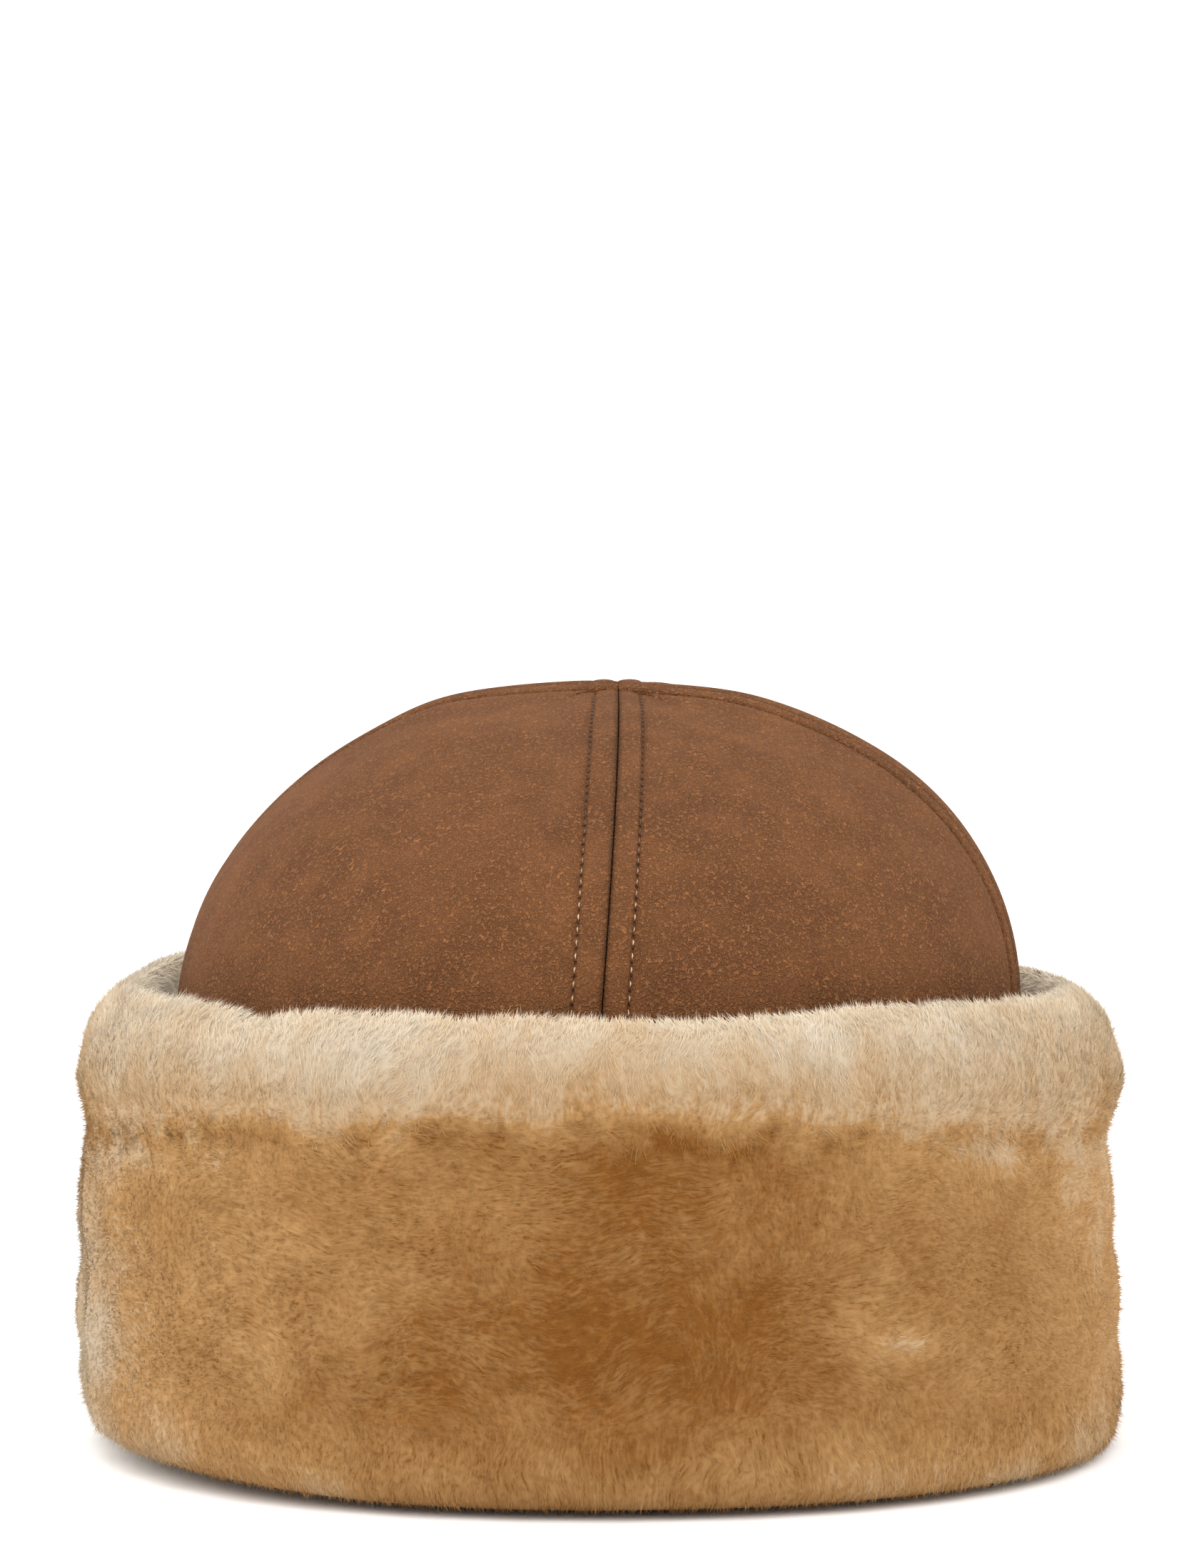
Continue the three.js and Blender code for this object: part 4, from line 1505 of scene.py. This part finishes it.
def fur_hairs(context, node, form, count, seed):
    """Hairs of one fur solid: for each its root, tip, root radius, normal, shade and turn about itself."""
    fur = context.scene.hat_fur
    on_roll = node == "cuff_roll"
    random = np.random.default_rng(seed)
    points, normals, triangles = form
    places, facing = scatter(points, normals, triangles, on_roll, count, random)
    cells = np.floor(places / fur.tuft).astype(np.int64)
    _, chosen = np.unique(cells, axis=0, return_index=True)
    centres, centre_facing = places[chosen], facing[chosen]
    lean = comb(centres, centre_facing, random)
    shade = fur_shade(centres) + random.normal(0.0, TUFT_TONE, len(centres))
    hold = random.uniform(*TUFT_HOLD, len(centres))
    tuft = nearest_tuft(places, centres, fur.tuft * TUFT_BLUR, random)
    pull = flattened(centres[tuft] - places, facing)
    run = fur.run_roll if on_roll else fur.run_band
    depth = fur.loose * random.uniform(*ROOT_DEPTH, count)
    own_lean = flattened(lean[tuft] + random.normal(0.0, HAIR_LEAN, places.shape), facing)
    own_run = run * random.uniform(*HAIR_RUN, count)
    stray = random.random(count) < STRAYS
    short = random.random(count) ** 2 * HAIR_SHORTER * fur.loose
    stray_reach = STRAY_REACH[0] + STRAY_REACH[1] * random.random(count) ** STRAY_POWER
    reach = np.where(stray, stray_reach, HAIR_REACH - short)
    kind = random.random(count)
    dark, pale = kind < DARK_HAIRS, kind > PALE_HAIRS
    own_run = own_run * np.where(stray, STRAY_RUN, 1.0) * np.where(pale, PALE_RUN, 1.0)
    lock = smoothstep(noise_at(centres, SEAM_LOCKS_SIZE, seed=46.0), -0.1, 0.5)
    reach = reach + SEAM_LOCKS * hump(above_seam(places), SEAM_LOCKS_REACH) * lock[tuft]
    if on_roll:
        ridge = smoothstep(facing[:, 2], *RIDGE_FACING)
        tall = random.random(count) < RIDGE_TALL
        reach = reach + ridge * np.where(tall, random.uniform(0.0, RIDGE_TALLEST, count), RIDGE_REACH)
    root = places - facing * depth[:, None]
    tip = places + facing * reach[:, None] + own_lean * own_run[:, None] + pull * hold[tuft][:, None]
    tip[:, 2] = np.maximum(tip[:, 2], LOWEST_TIP)
    root[:, 2] = np.maximum(root[:, 2], LOWEST_ROOT)
    radius = fur.hair_width / 2.0 * np.where(stray, STRAY_WIDTH, 1.0) * random.uniform(*HAIR_WIDTHS, count)
    tone = shade[tuft] + random.normal(0.0, HAIR_TONE, count)
    odd = ROLL_ODD if on_roll else 1.0
    tone = tone + odd * np.where(dark, DARK_TONE, np.where(pale, PALE_TONE, 0.0))
    tone = np.clip(tone, *TONE_RANGE)
    return root, tip, radius, facing, tone, random.uniform(0.0, FULL_TURN, count)


def hair_piece(name, hairs):
    """One mesh of hairs, each a slim three-sided spike whose open root is sunk in the undercoat."""
    root, tip, radius, facing, tone, turn = hairs
    count = len(root)
    along = unit(tip - root)
    across = unit(np.cross(along, facing + NEVER_ALONG))
    beside = np.cross(along, across)
    corners, normals = [], []
    for third in range(3):
        angle = (turn + third * FULL_TURN / 3.0)[:, None]
        outward = across * np.cos(angle) + beside * np.sin(angle)
        corners.append(root + outward * radius[:, None])
        normals.append(unit(facing + outward * HAIR_ROUNDNESS))
    points = np.stack([*corners, tip], axis=1).reshape(-1, 3)
    normals = np.stack([*normals, facing], axis=1).reshape(-1, 3)
    loops = (np.arange(count)[:, None] * len(SPIKE_MAP) + np.array(SPIKE_FACES).ravel()[None, :]).ravel()
    starts = np.arange(0, len(loops), 3, dtype=np.int32)
    mesh = bpy.data.meshes.new(name)
    mesh.vertices.add(len(points))
    mesh.vertices.foreach_set("co", points.ravel())
    mesh.loops.add(len(loops))
    mesh.loops.foreach_set("vertex_index", loops.astype(np.int32))
    mesh.polygons.add(len(starts))
    mesh.polygons.foreach_set("loop_start", starts)
    mesh.update(calc_edges=True)
    layer = mesh.uv_layers.new(name="OFBake")
    spread, up = np.array(SPIKE_MAP).T
    values = np.stack([tone[:, None] + spread[None, :], np.tile(up, (count, 1))], axis=2).reshape(-1, 2)
    layer.data.foreach_set("uv", values[loops].ravel())
    mesh.polygons.foreach_set("use_smooth", np.ones(len(starts), dtype=bool))
    mesh.normals_split_custom_set_from_vertices(normals)
    mesh.materials.append(bpy.data.materials["fur_hairs"])
    return placed(name, mesh)


def draw_in(form, depth):
    """Draws the cuff's soft form in from the tips to the dense fur under the loose hairs."""
    points, normals, _ = mesh_arrays(form)
    moved = points - normals * (depth * furred(points, normals))[:, None]
    moved[:, 2] = np.maximum(moved[:, 2], LOWEST_UNDERCOAT)
    move_points(form, moved)


def finish_undercoat(piece):
    """Stores the fur's shade and its brush strokes on a piece of the undercoat."""
    points, _, _ = mesh_arrays(piece)
    azimuth, height, upright = combed(points)
    for name, kind, key, values in (
        ("shade", "FLOAT", "value", fur_shade(points)),
        ("upright", "FLOAT", "value", upright),
        ("strokes", "FLOAT_VECTOR", "vector", on_ring(azimuth, height).ravel()),
    ):
        layer = piece.data.attributes.new(name, kind, "POINT")
        layer.data.foreach_set(key, values.astype(np.float32))
    piece.data.materials.append(bpy.data.materials["undercoat"])
    alone(piece)
    bpy.ops.object.shade_smooth_by_angle(angle=math.radians(FUR_EDGE))


def add_hairs(context, node, form, count, seed):
    """The hairs of a fur solid, in pieces round the hat."""
    hairs = fur_hairs(context, node, form, count, seed)
    sector = np.floor((azimuths(hairs[0]) + math.pi) / FULL_TURN * HAIR_PIECES).astype(int) % HAIR_PIECES
    for number in range(HAIR_PIECES):
        own = sector == number
        piece = hair_piece(f"{node}_hairs_{number + 1}", [part[own] for part in hairs])
        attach(piece, "root")
        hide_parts(node)


class HAT_OT_cuff(bpy.types.Operator):
    """Makes the fur of the cuff's band and roll: the undercoats from one form, and their hairs"""

    bl_idname = "hat.cuff"
    bl_label = "Fur cuff"

    def execute(self, context):
        fur = context.scene.hat_fur
        form = cuff_form()
        arrays = mesh_arrays(form)
        draw_in(form, fur.loose)
        for node, slot, upper, count, seed in (
            ("cuff_band", "band_fur", False, fur.hairs_band, 5),
            ("cuff_roll", "roll_fur", True, fur.hairs_roll, 6),
        ):
            piece = cut_part(form, node + "_undercoat", upper)
            finish_undercoat(piece)
            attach(piece, "root")
            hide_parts(node)
            add_hairs(context, node, arrays, count, seed)
        bpy.data.objects.remove(form)
        return {"FINISHED"}


# Stage

# Name, place, size in metres and power in watts of each light, and the point that they aim at
LIGHTS = (
    ("key", (-1.5, -2.0, 1.9), 2.4, 15.0),
    ("fill", (1.9, -1.7, 1.2), 2.4, 3.5),
    ("top", (0.0, -0.3, 2.4), 2.6, 30.0),
    ("rim_left", (-2.0, 1.2, 1.1), 1.8, 7.0),
    ("rim_right", (2.0, 1.2, 1.1), 1.8, 3.0),
)
LIT_POINT = (0.0, 0.0, 0.09)

# The floor's size and tone, and the strength of the white surroundings
FLOOR_SIZE = 200.0
FLOOR_TONE = (0.96, 0.96, 0.96, 1.0)
SURROUNDINGS = 1.35


class HAT_OT_stage(bpy.types.Operator):
    """Makes the pale floor, the soft lights and the camera"""

    bl_idname = "hat.stage"
    bl_label = "Stage"

    def execute(self, context):
        scene, stage = context.scene, context.scene.hat_stage
        bpy.ops.object.select_all(action="DESELECT")
        bpy.ops.mesh.primitive_plane_add(size=FLOOR_SIZE)
        floor = context.active_object
        floor.name = "floor"
        material, tree, shader = fresh_material("pale_floor")
        give(tree, shader, {"Base Color": FLOOR_TONE, "Roughness": 0.9})
        floor.data.materials.append(material)
        for name, place, size, power in LIGHTS:
            light = bpy.data.lights.new(name, "AREA")
            light.size, light.energy = size, power
            lamp = placed(name, light)
            lamp.location = place
            lamp.rotation_euler = (Vector(LIT_POINT) - Vector(place)).to_track_quat("-Z", "Y").to_euler()
        world = bpy.data.worlds.new("studio")
        world.use_nodes = True
        give(world.node_tree, world.node_tree.nodes["Background"], {0: (1.0, 1.0, 1.0, 1.0), 1: SURROUNDINGS})
        scene.world = world
        scene.view_settings.view_transform = "Standard"
        camera = bpy.data.cameras.new("camera")
        camera.lens, camera.shift_y = stage.lens, stage.shift
        eye = placed("camera", camera)
        back = Vector((0.0, -math.cos(stage.elevation), math.sin(stage.elevation)))
        eye.location = Vector((0.0, 0.0, stage.target_height)) + back * stage.distance
        eye.rotation_euler = (math.pi / 2.0 - stage.elevation, 0.0, 0.0)
        scene.camera = eye
        return {"FINISHED"}


class HAT_PT_panel(bpy.types.Panel):
    """Lists the pieces of the hat in the sidebar"""

    bl_idname = "HAT_PT_panel"
    bl_label = "Shearling hat"
    bl_space_type = "VIEW_3D"
    bl_region_type = "UI"
    bl_category = "Hat"

    def draw(self, context):
        for step in STEPS:
            self.layout.operator(step.bl_idname)


SETTINGS = {
    "hat_dome": DomeSettings,
    "hat_stitches": StitchSettings,
    "hat_fur": FurSettings,
    "hat_suede": SuedeSettings,
    "hat_stage": StageSettings,
}
STEPS = (HAT_OT_materials, HAT_OT_stage, HAT_OT_dome, HAT_OT_topstitching, HAT_OT_cuff)


def register():
    for group in SETTINGS.values():
        bpy.utils.register_class(group)
    for step in STEPS:
        bpy.utils.register_class(step)
    bpy.utils.register_class(HAT_PT_panel)
    for name, group in SETTINGS.items():
        setattr(bpy.types.Scene, name, PointerProperty(type=group))


def unregister():
    for name in SETTINGS:
        delattr(bpy.types.Scene, name)
    bpy.utils.unregister_class(HAT_PT_panel)
    for step in reversed(STEPS):
        bpy.utils.unregister_class(step)
    for group in SETTINGS.values():
        bpy.utils.unregister_class(group)


def main():
    register()
    for step in STEPS:
        category, name = step.bl_idname.split(".")
        getattr(getattr(bpy.ops, category), name)()


if __name__ == "__main__":
    main()
